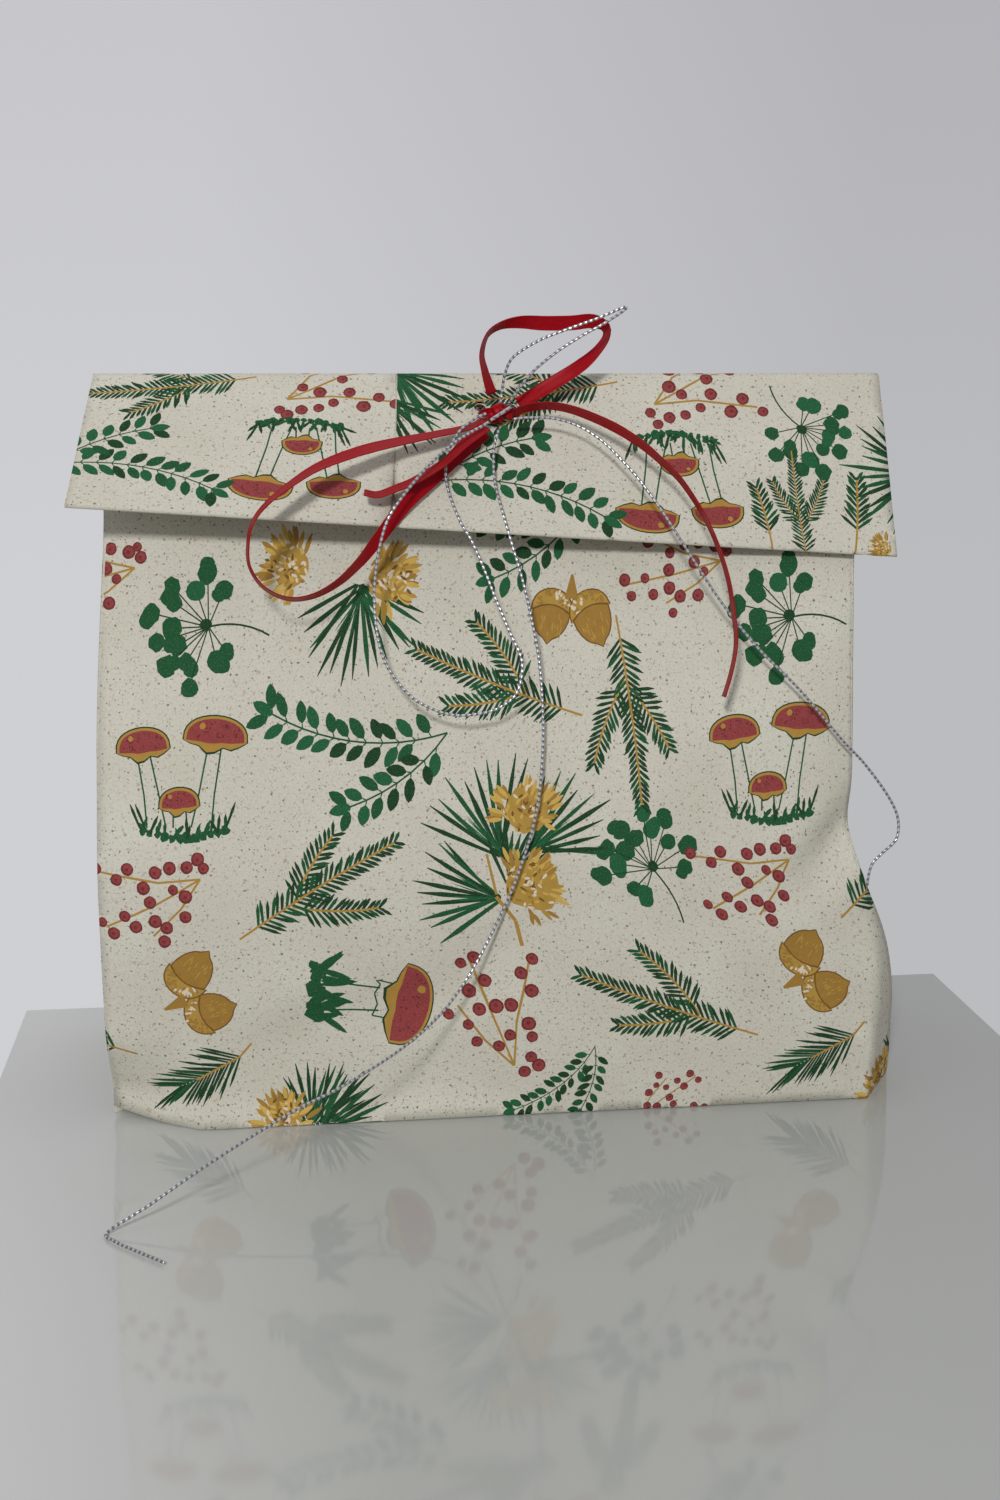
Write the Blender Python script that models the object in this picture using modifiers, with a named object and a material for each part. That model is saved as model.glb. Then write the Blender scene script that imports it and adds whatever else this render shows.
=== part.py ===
"""Paper gift bag with a rolled-over top, tied shut with a ribbon bow and a silver cord.

Metres, +Z up, the front of the bag faces -Y, the origin is the middle of the base.
"""

import math

import bpy
from mathutils import Vector

# Bag blank
HEIGHT = 0.1648            # top of the rolled crease above the table
HALF_DEPTH = 0.036         # half of the block bottom's depth
PAPER = 0.0004             # wall of every paper panel
GUSSET_FOLD = 0.036        # half of the gusset's own width
PANEL_TOP = 0.0033         # how far the back panel stops below the crease
FRONT_TOP = 0.0034         # how far the front panel stops below the crease
SEAM_X = -0.0226           # glued lap down the middle of the back
SEAM_WIDTH = 0.012

# Rolled flap
HINGE_Y = 0.0015
HINGE_Z = HEIGHT - 0.0024
ARC_RADIUS = 0.0021
ARC_Y = HINGE_Y - ARC_RADIUS
ARC_Z = HEIGHT - ARC_RADIUS
FLAP_LEFT = (-0.0940, -0.0270, 0.1355)
FLAP_RIGHT = (0.0905, -0.0175, 0.1245)
FLAP_BELLY = 0.0012
PLY_GAP = 0.0012           # spacing of the two plies of the flap
HOLE_RADIUS = 0.0022
HOLE_X = (-0.0037, 0.0033)
HOLE_Z = 0.1559

# Tie
RIBBON_WIDTH = 0.0032
RIBBON_THICK = 0.0003
CORD_DIAMETER = 0.0008
KNOT = (-0.0005, -0.0103, 0.1561)
KNOT_SIZE = (0.0036, 0.0013, 0.0028)
STRAND_Y = 0.0050

# Height above the table in mm against the half depth, the left edge and the right edge in mm
DEPTH_TABLE = ((0, 36), (25, 36.6), (60, 36), (90, 31), (110, 23), (124, 16), (145, 5.4), (164.8, 1.3))
LEFT_TABLE = ((0, -89), (50, -89.3), (96, -88.6), (136, -87.5), (164.8, -89.5))
RIGHT_TABLE = ((0, 89), (12, 90.4), (42, 86), (56, 81.5), (75, 79.5), (94, 80), (124, 82.5), (164.8, 89.5))

RIBBON_RIGHT_LOOP = (
    (-2.0, -12.4, 160.4), (-2.7, -12.4, 162.2), (-3.7, -12.4, 165.6), (-4.3, -12.5, 169.0),
    (-3.2, -13.0, 172.9), (-0.4, -13.5, 175.0), (3.9, -14.0, 175.8), (9.4, -14.0, 175.6),
    (15.5, -13.5, 175.7), (20.0, -13.0, 176.1), (23.0, -12.5, 174.9), (23.4, -12.0, 172.5),
    (20.8, -11.5, 169.0), (16.8, -11.5, 165.8), (11.0, -11.5, 162.3), (5.4, -11.5, 159.0),
    (3.9, -11.5, 158.2),
)
RIBBON_LEFT_LOOP = (
    (-3.6, -12.2, 155.0), (-7.2, -14.0, 153.3), (-15.6, -17.0, 151.7), (-23.9, -20.0, 150.3),
    (-31.9, -24.0, 148.6), (-40.1, -28.0, 145.9), (-45.9, -32.0, 142.8), (-51.9, -35.5, 138.4),
    (-55.0, -37.0, 134.4), (-56.0, -37.5, 129.9), (-55.7, -37.0, 125.3), (-52.9, -36.5, 121.0),
    (-48.0, -35.5, 118.5), (-42.7, -34.0, 118.8), (-37.4, -32.0, 121.3), (-32.5, -29.5, 125.4),
    (-28.0, -27.0, 130.5), (-22.2, -24.0, 137.3), (-15.9, -20.0, 142.5), (-9.4, -16.0, 147.7),
    (-3.6, -13.6, 152.2),
)
RIBBON_LEFT_TAIL = (
    (-3.9, -15.2, 153.4), (-8.5, -18.0, 150.1), (-13.7, -21.5, 145.9), (-20.1, -24.0, 142.3),
    (-24.3, -25.0, 140.7), (-28.2, -25.5, 139.4), (-31.2, -25.5, 139.9),
)
RIBBON_RIGHT_TAIL = (
    (2.9, -13.4, 156.4), (5.9, -13.4, 157.4), (10.8, -13.6, 157.8), (16.4, -14.8, 156.7),
    (23.9, -18.0, 153.5), (29.6, -21.0, 149.9), (33.7, -23.5, 146.3), (37.4, -26.0, 142.5),
    (40.3, -28.5, 138.1), (42.7, -31.0, 133.5), (45.1, -33.5, 127.2), (46.8, -35.5, 120.7),
    (47.7, -37.0, 113.9), (48.1, -38.0, 109.3), (47.8, -38.5, 105.2), (46.7, -39.0, 100.3),
    (45.4, -39.4, 96.2),
)
SILVER_TOP_LOOP = (
    (-0.4, -14.4, 158.6), (0.0, -14.4, 161.7), (0.6, -15.2, 165.1), (2.3, -16.0, 168.4),
    (7.6, -17.0, 171.8), (13.4, -17.8, 174.1), (20.5, -18.3, 176.6), (25.3, -18.4, 178.6),
    (26.7, -18.6, 178.9), (25.3, -19.2, 177.7), (21.5, -19.6, 175.4), (16.6, -19.2, 172.7),
    (11.3, -18.4, 169.3), (6.1, -17.0, 164.9), (2.9, -15.6, 160.7), (1.4, -14.6, 158.4),
)
SILVER_LOWER_LOOP = (
    (-3.6, -14.6, 156.2), (-6.5, -15.4, 154.9), (-9.9, -16.4, 152.2), (-12.4, -18.2, 147.7),
    (-13.1, -21.2, 141.7), (-10.9, -25.0, 134.4), (-8.2, -27.4, 129.4), (-5.8, -29.8, 123.6),
    (-3.3, -32.2, 116.7), (-0.7, -34.4, 110.2), (1.6, -36.3, 104.2), (0.4, -37.6, 97.9),
    (-3.3, -38.2, 94.8), (-7.3, -38.4, 93.6), (-13.1, -38.4, 93.3), (-18.4, -37.9, 94.9),
    (-23.0, -36.9, 97.9), (-27.3, -35.2, 103.7), (-29.1, -33.8, 109.5), (-29.7, -32.0, 117.4),
    (-29.3, -31.4, 123.3), (-28.3, -31.0, 128.9), (-26.4, -30.4, 134.6), (-22.6, -28.4, 139.9),
    (-17.2, -24.9, 145.5), (-11.6, -21.0, 149.9), (-7.2, -18.6, 152.4), (-3.9, -17.0, 154.0),
)
SILVER_LEFT_TAIL = (
    (-1.0, -15.6, 152.6), (-2.2, -17.2, 148.3), (-2.4, -20.2, 142.0), (-1.0, -23.9, 135.1),
    (0.9, -26.7, 127.7), (2.8, -28.4, 120.7), (4.4, -29.9, 113.2), (5.8, -31.6, 105.0),
    (6.4, -33.6, 96.3), (6.4, -35.4, 87.4), (5.8, -36.9, 79.3), (5.0, -37.7, 73.2),
    (3.4, -38.2, 66.2), (1.7, -38.4, 60.9), (-0.5, -38.6, 54.7), (-3.0, -39.0, 49.2),
    (-5.6, -39.8, 44.2), (-8.6, -41.2, 39.1), (-12.1, -43.2, 34.2), (-18.0, -47.2, 28.5),
    (-26.7, -53.6, 23.9), (-38.7, -60.0, 19.2), (-48.2, -65.0, 16.7), (-57.4, -70.0, 13.5),
    (-68.3, -76.0, 9.2), (-78.1, -80.5, 4.4), (-86.0, -84.0, 0.9), (-84.6, -87.6, 0.7),
    (-79.6, -92.6, 0.7), (-74.3, -97.6, 0.7),
)
SILVER_RIGHT_TAIL = (
    (2.4, -15.2, 155.0), (5.2, -15.3, 155.3), (10.7, -15.6, 155.2), (16.2, -16.6, 153.7),
    (21.5, -18.8, 150.4), (26.5, -21.6, 145.3), (30.1, -24.0, 140.8), (34.0, -26.2, 135.1),
    (38.5, -28.0, 128.0), (42.6, -29.2, 121.6), (45.8, -30.0, 116.8), (49.5, -31.0, 111.8),
    (55.4, -32.5, 104.8), (64.0, -33.9, 96.3), (73.8, -34.0, 85.1), (80.1, -32.5, 78.7),
    (85.8, -32.5, 71.2), (88.1, -33.0, 66.1), (87.6, -34.0, 61.6), (84.2, -34.8, 58.6),
    (81.9, -35.2, 56.4), (81.0, -35.4, 53.6), (80.8, -35.4, 51.2),
)

PAPER_LOOK = ("speckled printed paper", (0.62, 0.57, 0.50), 0.85, 0.0)
RIBBON_LOOK = ("red satin ribbon", (0.36, 0.012, 0.02), 0.38, 0.0)
CORD_LOOK = ("silver twisted cord", (0.72, 0.73, 0.76), 0.28, 1.0)


def start_scene():
    for obj in list(bpy.data.objects):
        bpy.data.objects.remove(obj, do_unlink=True)
    parts = bpy.data.collections.new("paper_gift_bag")
    cutters = bpy.data.collections.new("cutters")
    for collection in (parts, cutters):
        bpy.context.scene.collection.children.link(collection)
    return parts, cutters


def material(look):
    name, colour, roughness, metallic = look
    made = bpy.data.materials.new(name)
    made.use_nodes = True
    shader = made.node_tree.nodes["Principled BSDF"]
    shader.inputs["Base Color"].default_value = (*colour, 1.0)
    shader.inputs["Roughness"].default_value = roughness
    shader.inputs["Metallic"].default_value = metallic
    return made


def lerp(table, height_mm):
    """Smoothly stepped reading of a table of (height, value) pairs."""
    for (z0, v0), (z1, v1) in zip(table, table[1:]):
        if height_mm <= z1:
            t = max(0.0, (height_mm - z0) / (z1 - z0))
            return v0 + (v1 - v0) * t
    return table[-1][1]


def smooth(table, z):
    """The table read in metres, averaged over a few millimetres so that it has no corners."""
    height = z * 1000.0
    reach = 7.0 * min(1.0, max(0.0, (HEIGHT * 1000.0 - height) / 20.0))
    total = sum(lerp(table, height + reach * step) for step in (-1.0, -0.5, 0.0, 0.5, 1.0))
    return total / 5000.0


def half_depth(z):
    return smooth(DEPTH_TABLE, z)


def edge_x(z, share):
    """Where a share of the panel's width, -1 to 1, lies at a height."""
    left, right = smooth(LEFT_TABLE, z), smooth(RIGHT_TABLE, z)
    return 0.5 * (left + right) + 0.5 * (right - left) * share


def corner_ease(share, z):
    """The panel's depth eases towards its side folds where the bag is full."""
    belly = math.sin(math.pi * min(1.0, max(0.0, z / HEIGHT)))
    near = max(0.0, (abs(share) - 0.80) / 0.20)
    return 1.0 - 0.10 * belly * near * near


def panel_point(share, z, side):
    """A point of the front (side -1) or back (side 1) panel's middle surface."""
    return Vector((edge_x(z, share), side * half_depth(z) * corner_ease(share, z), z))


def mesh_object(name, points, faces, look, parts, smooth_faces=True):
    mesh = bpy.data.meshes.new(name)
    mesh.from_pydata(points, [], faces)
    mesh.update()
    obj = bpy.data.objects.new(name, mesh)
    parts.objects.link(obj)
    mesh.materials.append(look)
    for polygon in mesh.polygons:
        polygon.use_smooth = smooth_faces
    return obj


def sheet(name, surface, columns, rows, look, parts, thickness=PAPER):
    """A grid over surface(u, v), with u and v from 0 to 1, given its thickness about the middle."""
    points = [surface(i / columns, j / rows) for j in range(rows + 1) for i in range(columns + 1)]
    faces = []
    for j in range(rows):
        for i in range(columns):
            a = j * (columns + 1) + i
            faces.append((a, a + 1, a + columns + 2, a + columns + 1))
    obj = mesh_object(name, points, faces, look, parts)
    solid = obj.modifiers.new("thickness", "SOLIDIFY")
    solid.thickness = thickness
    solid.offset = 0.0
    return obj


def spread(values, share):
    """A list of parameter values read at 0 to 1, so that rows can be denser where it bends."""
    place = share * (len(values) - 1)
    index = min(int(place), len(values) - 2)
    return values[index] + (values[index + 1] - values[index]) * (place - index)


def front_panel(look, parts):
    rows = (0.0008, 0.015, 0.04, 0.065, 0.085, 0.10, 0.113, 0.125, 0.137, 0.149, HEIGHT - FRONT_TOP)
    columns = (-1.0, -0.94, -0.87, -0.80, -0.5, -0.2, 0.1, 0.4, 0.7, 0.80, 0.87, 0.94, 1.0)

    def surface(u, v):
        return panel_point(spread(columns, u), spread(rows, v), -1)

    return sheet("front_panel", surface, len(columns) - 1, len(rows) - 1, look, parts)


def back_panel(look, parts):
    rows = (0.0, 0.015, 0.04, 0.065, 0.085, 0.10, 0.113, 0.125, 0.137, 0.149, HEIGHT - PANEL_TOP)
    columns = (-1.0, -0.94, -0.87, -0.80, -0.5, -0.2, 0.1, 0.4, 0.7, 0.80, 0.87, 0.94, 1.0)

    def surface(u, v):
        return panel_point(spread(columns, u), spread(rows, v), 1)

    return sheet("back_panel", surface, len(columns) - 1, len(rows) - 1, look, parts)


def back_seam(look, parts):
    """The glued lap of the blank, down the outside of the back panel."""
    rows = (0.002, 0.015, 0.04, 0.065, 0.085, 0.10, 0.113, 0.125, 0.137, 0.149, HEIGHT - 0.0075)

    def surface(u, v):
        z = spread(rows, v)
        x = SEAM_X + (u - 0.5) * SEAM_WIDTH
        return Vector((x, half_depth(z) + PAPER + 0.00042, z))

    return sheet("back_seam", surface, 1, len(rows) - 1, look, parts, 0.0003)


def gusset(name, side, look, parts):
    """A side panel folded inwards: flat across at the base, a V between the panels at the top."""
    rows = (0.0025, 0.015, 0.04, 0.065, 0.085, 0.10, 0.113, 0.125, 0.137, 0.149, HEIGHT - 0.0040)
    across = (-1.0, -0.66, -0.33, -0.10, 0.0, 0.10, 0.33, 0.66, 1.0)

    def surface(u, v):
        z = spread(rows, v)
        share = spread(across, u)
        depth = half_depth(z) * corner_ease(1.0, z) - 0.0007
        depth = max(depth, 0.00036)
        inset = math.sqrt(max(0.0, GUSSET_FOLD ** 2 - min(depth, GUSSET_FOLD) ** 2))
        fold = 1.0 - abs(share)
        y = math.copysign(max(abs(share) * depth, 0.00036 if share else 0.0), share)
        x = abs(edge_x(z, side)) - 0.0004 - inset * fold
        return Vector((side * x, y, z))

    return sheet(name, surface, len(across) - 1, len(rows) - 1, look, parts)


def bottom_sheet(name, corners, z, look, parts):
    """One flat flap of the block bottom from its outline in plan."""
    count = len(corners)
    points = [Vector((x, y, z + s * PAPER / 2)) for s in (-1, 1) for x, y in corners]
    faces = [tuple(reversed(range(count))), tuple(range(count, 2 * count))]
    faces += [(i, (i + 1) % count, count + (i + 1) % count, count + i) for i in range(count)]
    return mesh_object(name, points, faces, look, parts, False)


def block_bottom(look, parts):
    """The four folded flaps that close the base, the outermost on the table."""
    half = HALF_DEPTH
    bottom_sheet("bottom_front_flap",
                 ((-0.0885, -half), (0.0885, -half), (0.0680, 0.018), (-0.0680, 0.018)),
                 PAPER / 2, look, parts)
    bottom_sheet("bottom_back_flap",
                 ((-0.0670, -0.016), (0.0670, -0.016), (0.0880, half - 0.0008), (-0.0880, half - 0.0008)),
                 PAPER / 2 + 0.0007, look, parts)
    for name, side in (("bottom_left_tuck", -1), ("bottom_right_tuck", 1)):
        outline = ((side * 0.0870, -half + 0.0012), (side * 0.0870, half - 0.0016),
                   (side * 0.0520, 0.004), (side * 0.0520, -0.004))
        if side < 0:
            outline = tuple(reversed(outline))
        bottom_sheet(name, outline, PAPER / 2 + 0.0014, look, parts)


def flap_end(share):
    """The flap's lower fold line, share 0 at its left end and 1 at its right end."""
    start, end = Vector(FLAP_LEFT), Vector(FLAP_RIGHT)
    middle = start.lerp(end, share)
    middle.y -= FLAP_BELLY * math.sin(math.pi * share)
    return middle


def flap_start(share, angle):
    """A point of the rolled crease, angle 0 behind and pi in front."""
    x = -0.0895 + 0.179 * share
    return Vector((x, ARC_Y + ARC_RADIUS * math.cos(angle), ARC_Z + ARC_RADIUS * math.sin(angle)))


def flap_lean(share):
    """How far the flap leans out from vertical, as an angle."""
    end = flap_end(share)
    return math.atan2(ARC_Y - ARC_RADIUS - end.y, ARC_Z - end.z)


def flap_frame(share):
    """Where the flat of the flap starts, its downward direction and its outward direction."""
    lean = flap_lean(share)
    start = flap_start(share, math.pi - lean)
    end = flap_end(share)
    down = (end - start).normalized()
    out = Vector((0.0, -math.cos(lean), math.sin(lean)))
    return start, end, down, out


def outer_ply_point(share, v):
    """The outer ply: over the crease (v under 0.3), down the face, round the lower fold."""
    start, end, down, out = flap_frame(share)
    if v < 0.3:
        return flap_start(share, 0.05 + (math.pi - flap_lean(share) - 0.05) * v / 0.3)
    if v < 0.7:
        return start.lerp(end, (v - 0.3) / 0.4)
    turn = math.pi * (v - 0.7) / 0.3
    radius = PLY_GAP / 2
    return end + down * radius * math.sin(turn) - out * radius * (1.0 - math.cos(turn))


def flap_outer_ply(look, parts):
    steps = (0.0, 0.075, 0.15, 0.225, 0.3, 0.38, 0.48, 0.59, 0.70, 0.80, 0.9, 1.0)

    def surface(u, v):
        return outer_ply_point(u, spread(steps, v))

    return sheet("flap_outer_ply", surface, 12, len(steps) - 1, look, parts)


def flap_turned_ply(look, parts):
    """The end of the bag's mouth, turned up behind the outer ply."""
    def surface(u, v):
        start, end, down, out = flap_frame(u)
        low = end - out * PLY_GAP - down * 0.0006
        high = start - out * PLY_GAP + down * 0.0060
        return low.lerp(high, v)

    return sheet("flap_turned_ply", surface, 12, 5, look, parts)


def flap_seam(look, parts):
    """The same glued lap where it runs on down the flap's face."""
    share = (SEAM_X + 0.0895) / 0.179

    def surface(u, v):
        start, end, down, out = flap_frame(share + (u - 0.5) * SEAM_WIDTH / 0.179)
        low, high = end - down * 0.0012, start + down * 0.0012
        return high.lerp(low, v) + out * (PAPER + 0.00036)

    return sheet("flap_seam", surface, 1, 4, look, parts, 0.0003)


def punch(objects, cutters):
    """The two holes that the tie runs through."""
    for x in HOLE_X:
        bpy.ops.mesh.primitive_cylinder_add(vertices=16, radius=HOLE_RADIUS, depth=0.03,
                                            location=(x, -0.003, HOLE_Z),
                                            rotation=(math.pi / 2, 0.0, 0.0))
        cutter = bpy.context.object
        cutter.name = "punch"
        for owner in list(cutter.users_collection):
            owner.objects.unlink(cutter)
        cutters.objects.link(cutter)
        cutter.hide_render = True
        cutter.display_type = "WIRE"
        for obj in objects:
            cut = obj.modifiers.new("hole", "BOOLEAN")
            cut.operation = "DIFFERENCE"
            cut.solver = "EXACT"
            cut.object = cutter


def route(controls, step):
    """Points in metres along a smooth curve through the controls in mm, step metres apart."""
    marks = [Vector(p) * 0.001 for p in controls]
    marks = [2 * marks[0] - marks[1]] + marks + [2 * marks[-1] - marks[-2]]
    fine = []
    for a, b, c, d in zip(marks, marks[1:], marks[2:], marks[3:]):
        for k in range(12):
            t = k / 12
            fine.append(0.5 * (2 * b + (c - a) * t + (2 * a - 5 * b + 4 * c - d) * t * t
                               + (3 * b - a - 3 * c + d) * t ** 3))
    fine.append(marks[-2])
    lengths = [0.0]
    for a, b in zip(fine, fine[1:]):
        lengths.append(lengths[-1] + (b - a).length)
    count = max(2, round(lengths[-1] / step))
    found, index = [], 0
    for k in range(count + 1):
        goal = lengths[-1] * k / count
        while index < len(fine) - 2 and lengths[index + 1] < goal:
            index += 1
        share = (goal - lengths[index]) / (lengths[index + 1] - lengths[index])
        found.append(fine[index].lerp(fine[index + 1], min(1.0, share)))
    return found


def cord(name, points, look, parts, radius=CORD_DIAMETER / 2):
    data = bpy.data.curves.new(name, "CURVE")
    data.dimensions = "3D"
    data.bevel_depth = radius
    data.bevel_resolution = 1
    data.use_fill_caps = True
    spline = data.splines.new("POLY")
    spline.points.add(len(points) - 1)
    for point, place in zip(spline.points, points):
        point.co = (*place, 1.0)
        point.radius = 1.0
    data.materials.append(look)
    obj = bpy.data.objects.new(name, data)
    parts.objects.link(obj)
    return obj


def ribbon(name, points, look, parts, facing=Vector((0.0, -0.92, 0.39))):
    """A flat band along the points, its broad face turned towards facing as far as the route lets it."""
    sections = []
    for i, place in enumerate(points):
        along = points[min(i + 1, len(points) - 1)] - points[max(i - 1, 0)]
        along.normalize()
        wide = along.cross(facing)
        if sections and wide.dot(sections[-1][1]) < 0:
            wide = -wide
        wide.normalize()
        sections.append((place, wide, along.cross(wide).normalized()))
    made, faces = [], []
    half, thin = RIBBON_WIDTH / 2, RIBBON_THICK / 2
    for place, wide, thick in sections:
        for a, b in ((-half, -thin), (half, -thin), (half, thin), (-half, thin)):
            made.append(place + wide * a + thick * b)
    for i in range(len(sections) - 1):
        for k in range(4):
            a, b = 4 * i + k, 4 * i + (k + 1) % 4
            faces.append((a, b, b + 4, a + 4))
    last = 4 * (len(sections) - 1)
    faces += [(3, 2, 1, 0), (last, last + 1, last + 2, last + 3)]
    obj = mesh_object(name, made, faces, look, parts, False)
    obj.data.flip_normals() if volume(obj.data) < 0 else None
    return obj


def volume(mesh):
    total = 0.0
    for polygon in mesh.polygons:
        corners = [mesh.vertices[i].co for i in polygon.vertices]
        for b, c in zip(corners[1:], corners[2:]):
            total += corners[0].dot(b.cross(c))
    return total


def rounded_box(name, centre, size, look, parts, bevel):
    """A closed box of the full size, its edges rounded."""
    x, y, z = (s / 2 for s in size)
    points = [(centre[0] + i * x, centre[1] + j * y, centre[2] + k * z)
              for i in (-1, 1) for j in (-1, 1) for k in (-1, 1)]
    faces = [(0, 1, 3, 2), (4, 6, 7, 5), (0, 4, 5, 1), (2, 3, 7, 6), (0, 2, 6, 4), (1, 5, 7, 3)]
    obj = mesh_object(name, points, faces, look, parts)
    round_edges = obj.modifiers.new("round", "BEVEL")
    round_edges.width = bevel
    round_edges.segments = 2
    return obj


def tie(ribbon_look, cord_look, parts):
    """The knot, the two bow loops and the tails of the ribbon and of the silver cord."""
    step = 0.0042
    ribbon("ribbon_right_loop", route(RIBBON_RIGHT_LOOP, step), ribbon_look, parts)
    ribbon("ribbon_left_loop", route(RIBBON_LEFT_LOOP, step), ribbon_look, parts)
    ribbon("ribbon_left_tail", route(RIBBON_LEFT_TAIL, step), ribbon_look, parts)
    ribbon("ribbon_right_tail", route(RIBBON_RIGHT_TAIL, step), ribbon_look, parts)
    cord("silver_top_loop", route(SILVER_TOP_LOOP, 0.0032), cord_look, parts)
    cord("silver_lower_loop", route(SILVER_LOWER_LOOP, 0.0040), cord_look, parts)
    cord("silver_left_tail", route(SILVER_LEFT_TAIL, 0.0045), cord_look, parts)
    cord("silver_right_tail", route(SILVER_RIGHT_TAIL, 0.0040), cord_look, parts)
    rounded_box("ribbon_knot", KNOT, (0.0056, 0.0030, 0.0050), ribbon_look, parts, 0.0011)
    wrap = [Vector((x, -0.0128, z)) for x, z in ((-0.0024, 0.1547), (-0.0010, 0.1556),
                                                (0.0006, 0.1566), (0.0022, 0.1577))]
    cord("silver_knot_wrap", wrap, cord_look, parts)
    for name, x in (("ribbon_left_leg", HOLE_X[0]), ("ribbon_right_leg", HOLE_X[1])):
        rounded_box(name, (x, -0.0022, HOLE_Z - 0.0004), (0.0026, 0.0124, RIBBON_THICK),
                    ribbon_look, parts, 0.00005)
    for name, x in (("silver_left_leg", HOLE_X[0]), ("silver_right_leg", HOLE_X[1])):
        cord(name, [Vector((x, y, HOLE_Z + 0.0006)) for y in (-0.0082, -0.002, 0.0040)],
             cord_look, parts)
    middle = (HOLE_X[0] + HOLE_X[1]) / 2
    rounded_box("ribbon_back_strand", (middle, STRAND_Y, HOLE_Z - 0.0006),
                (0.0102, RIBBON_THICK, RIBBON_WIDTH), ribbon_look, parts, 0.00005)
    cord("silver_back_strand",
         [Vector((x, STRAND_Y + 0.0009, HOLE_Z + 0.0010)) for x in (-0.0045, middle, 0.0041)],
         cord_look, parts)


def main():
    parts, cutters = start_scene()
    paper, red, silver = material(PAPER_LOOK), material(RIBBON_LOOK), material(CORD_LOOK)
    front = front_panel(paper, parts)
    back = back_panel(paper, parts)
    back_seam(paper, parts)
    gusset("left_gusset", -1, paper, parts)
    gusset("right_gusset", 1, paper, parts)
    block_bottom(paper, parts)
    outer = flap_outer_ply(paper, parts)
    turned = flap_turned_ply(paper, parts)
    flap_seam(paper, parts)
    punch((front, back, outer, turned), cutters)
    tie(red, silver, parts)


main()
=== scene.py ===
"""The looks of the paper gift bag: printed paper sheets, satin ribbon bow and twisted silver cord."""

import math
import random

import bpy
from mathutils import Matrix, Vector, geometry, noise


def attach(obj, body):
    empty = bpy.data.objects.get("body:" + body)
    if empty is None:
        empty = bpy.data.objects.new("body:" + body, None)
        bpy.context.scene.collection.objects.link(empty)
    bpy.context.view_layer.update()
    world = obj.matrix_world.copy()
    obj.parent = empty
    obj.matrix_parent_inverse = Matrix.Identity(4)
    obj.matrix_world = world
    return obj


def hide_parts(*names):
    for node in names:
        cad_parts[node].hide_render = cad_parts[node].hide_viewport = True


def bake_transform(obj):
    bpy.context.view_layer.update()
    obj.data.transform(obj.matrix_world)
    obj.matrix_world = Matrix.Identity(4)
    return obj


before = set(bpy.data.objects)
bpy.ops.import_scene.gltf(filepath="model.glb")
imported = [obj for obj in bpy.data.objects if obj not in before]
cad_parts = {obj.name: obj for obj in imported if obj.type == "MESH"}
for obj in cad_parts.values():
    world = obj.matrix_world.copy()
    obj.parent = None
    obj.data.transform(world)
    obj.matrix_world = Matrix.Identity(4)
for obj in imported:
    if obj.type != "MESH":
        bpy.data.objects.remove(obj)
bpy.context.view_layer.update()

MM = 0.001

# The bag's shape, as in the CAD: metres, +Z up, the front faces -Y
HEIGHT = 0.1648
HEIGHT_MM = HEIGHT * 1000.0
HALF_DEPTH = 0.036
SKIN = 0.00028             # thickness of the modelled paper
GUSSET_FOLD = 0.036
FRONT_TOP = 0.0034         # from the crease down to the front's upper edge
SEAM_X = -22.6             # mm, the glued lap down the back and the flap
HINGE = (0.0, 0.0015, 0.1624)
ARC_RADIUS = 0.0021
ARC_Y = HINGE[1] - ARC_RADIUS
ARC_Z = HEIGHT - ARC_RADIUS
FLAP_LEFT = (-0.0940, -0.0270, 0.1383)
FLAP_RIGHT = (0.0905, -0.0175, 0.1245)
FLAP_BELLY = 0.0012
PLY_GAP = 0.0012
HOLE_RADIUS = 1.45         # mm
HOLE_X = (-3.7, 3.3)       # mm
HOLE_Z = 155.9             # mm
# Height above the table in mm against the half depth, the left edge and the right edge in mm
DEPTH_TABLE = ((0, 36), (25, 36.6), (60, 36), (90, 31), (110, 23), (124, 16), (145, 5.4), (164.8, 1.3))
LEFT_TABLE = ((0, -90), (30, -90.4), (60, -90.4), (96, -89.4), (136, -87.5), (164.8, -89.5))
RIGHT_TABLE = ((0, 90), (12, 91.4), (30, 89.6), (44, 85), (54, 79.4), (62, 77.8), (75, 77.9), (94, 78.4),
               (124, 81), (164.8, 89.5))

RIBBON_WIDTH = 0.0032
RIBBON_THICK = 0.0002
BRIDGE_WIDTH = 0.0026
RIBBON_STEP = 0.0008
CORD_DIAMETER = 0.0008
CORD_STEP = 0.00024
GLINT_SPACING = 1.2                 # mm between the painted glints along the silver cord
KNOT = Vector((-0.0005, -0.0103, 0.1561))
FRONT = Vector((-0.05, -0.42, 0.17))      # the side that the bow was tied to be seen from

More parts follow.
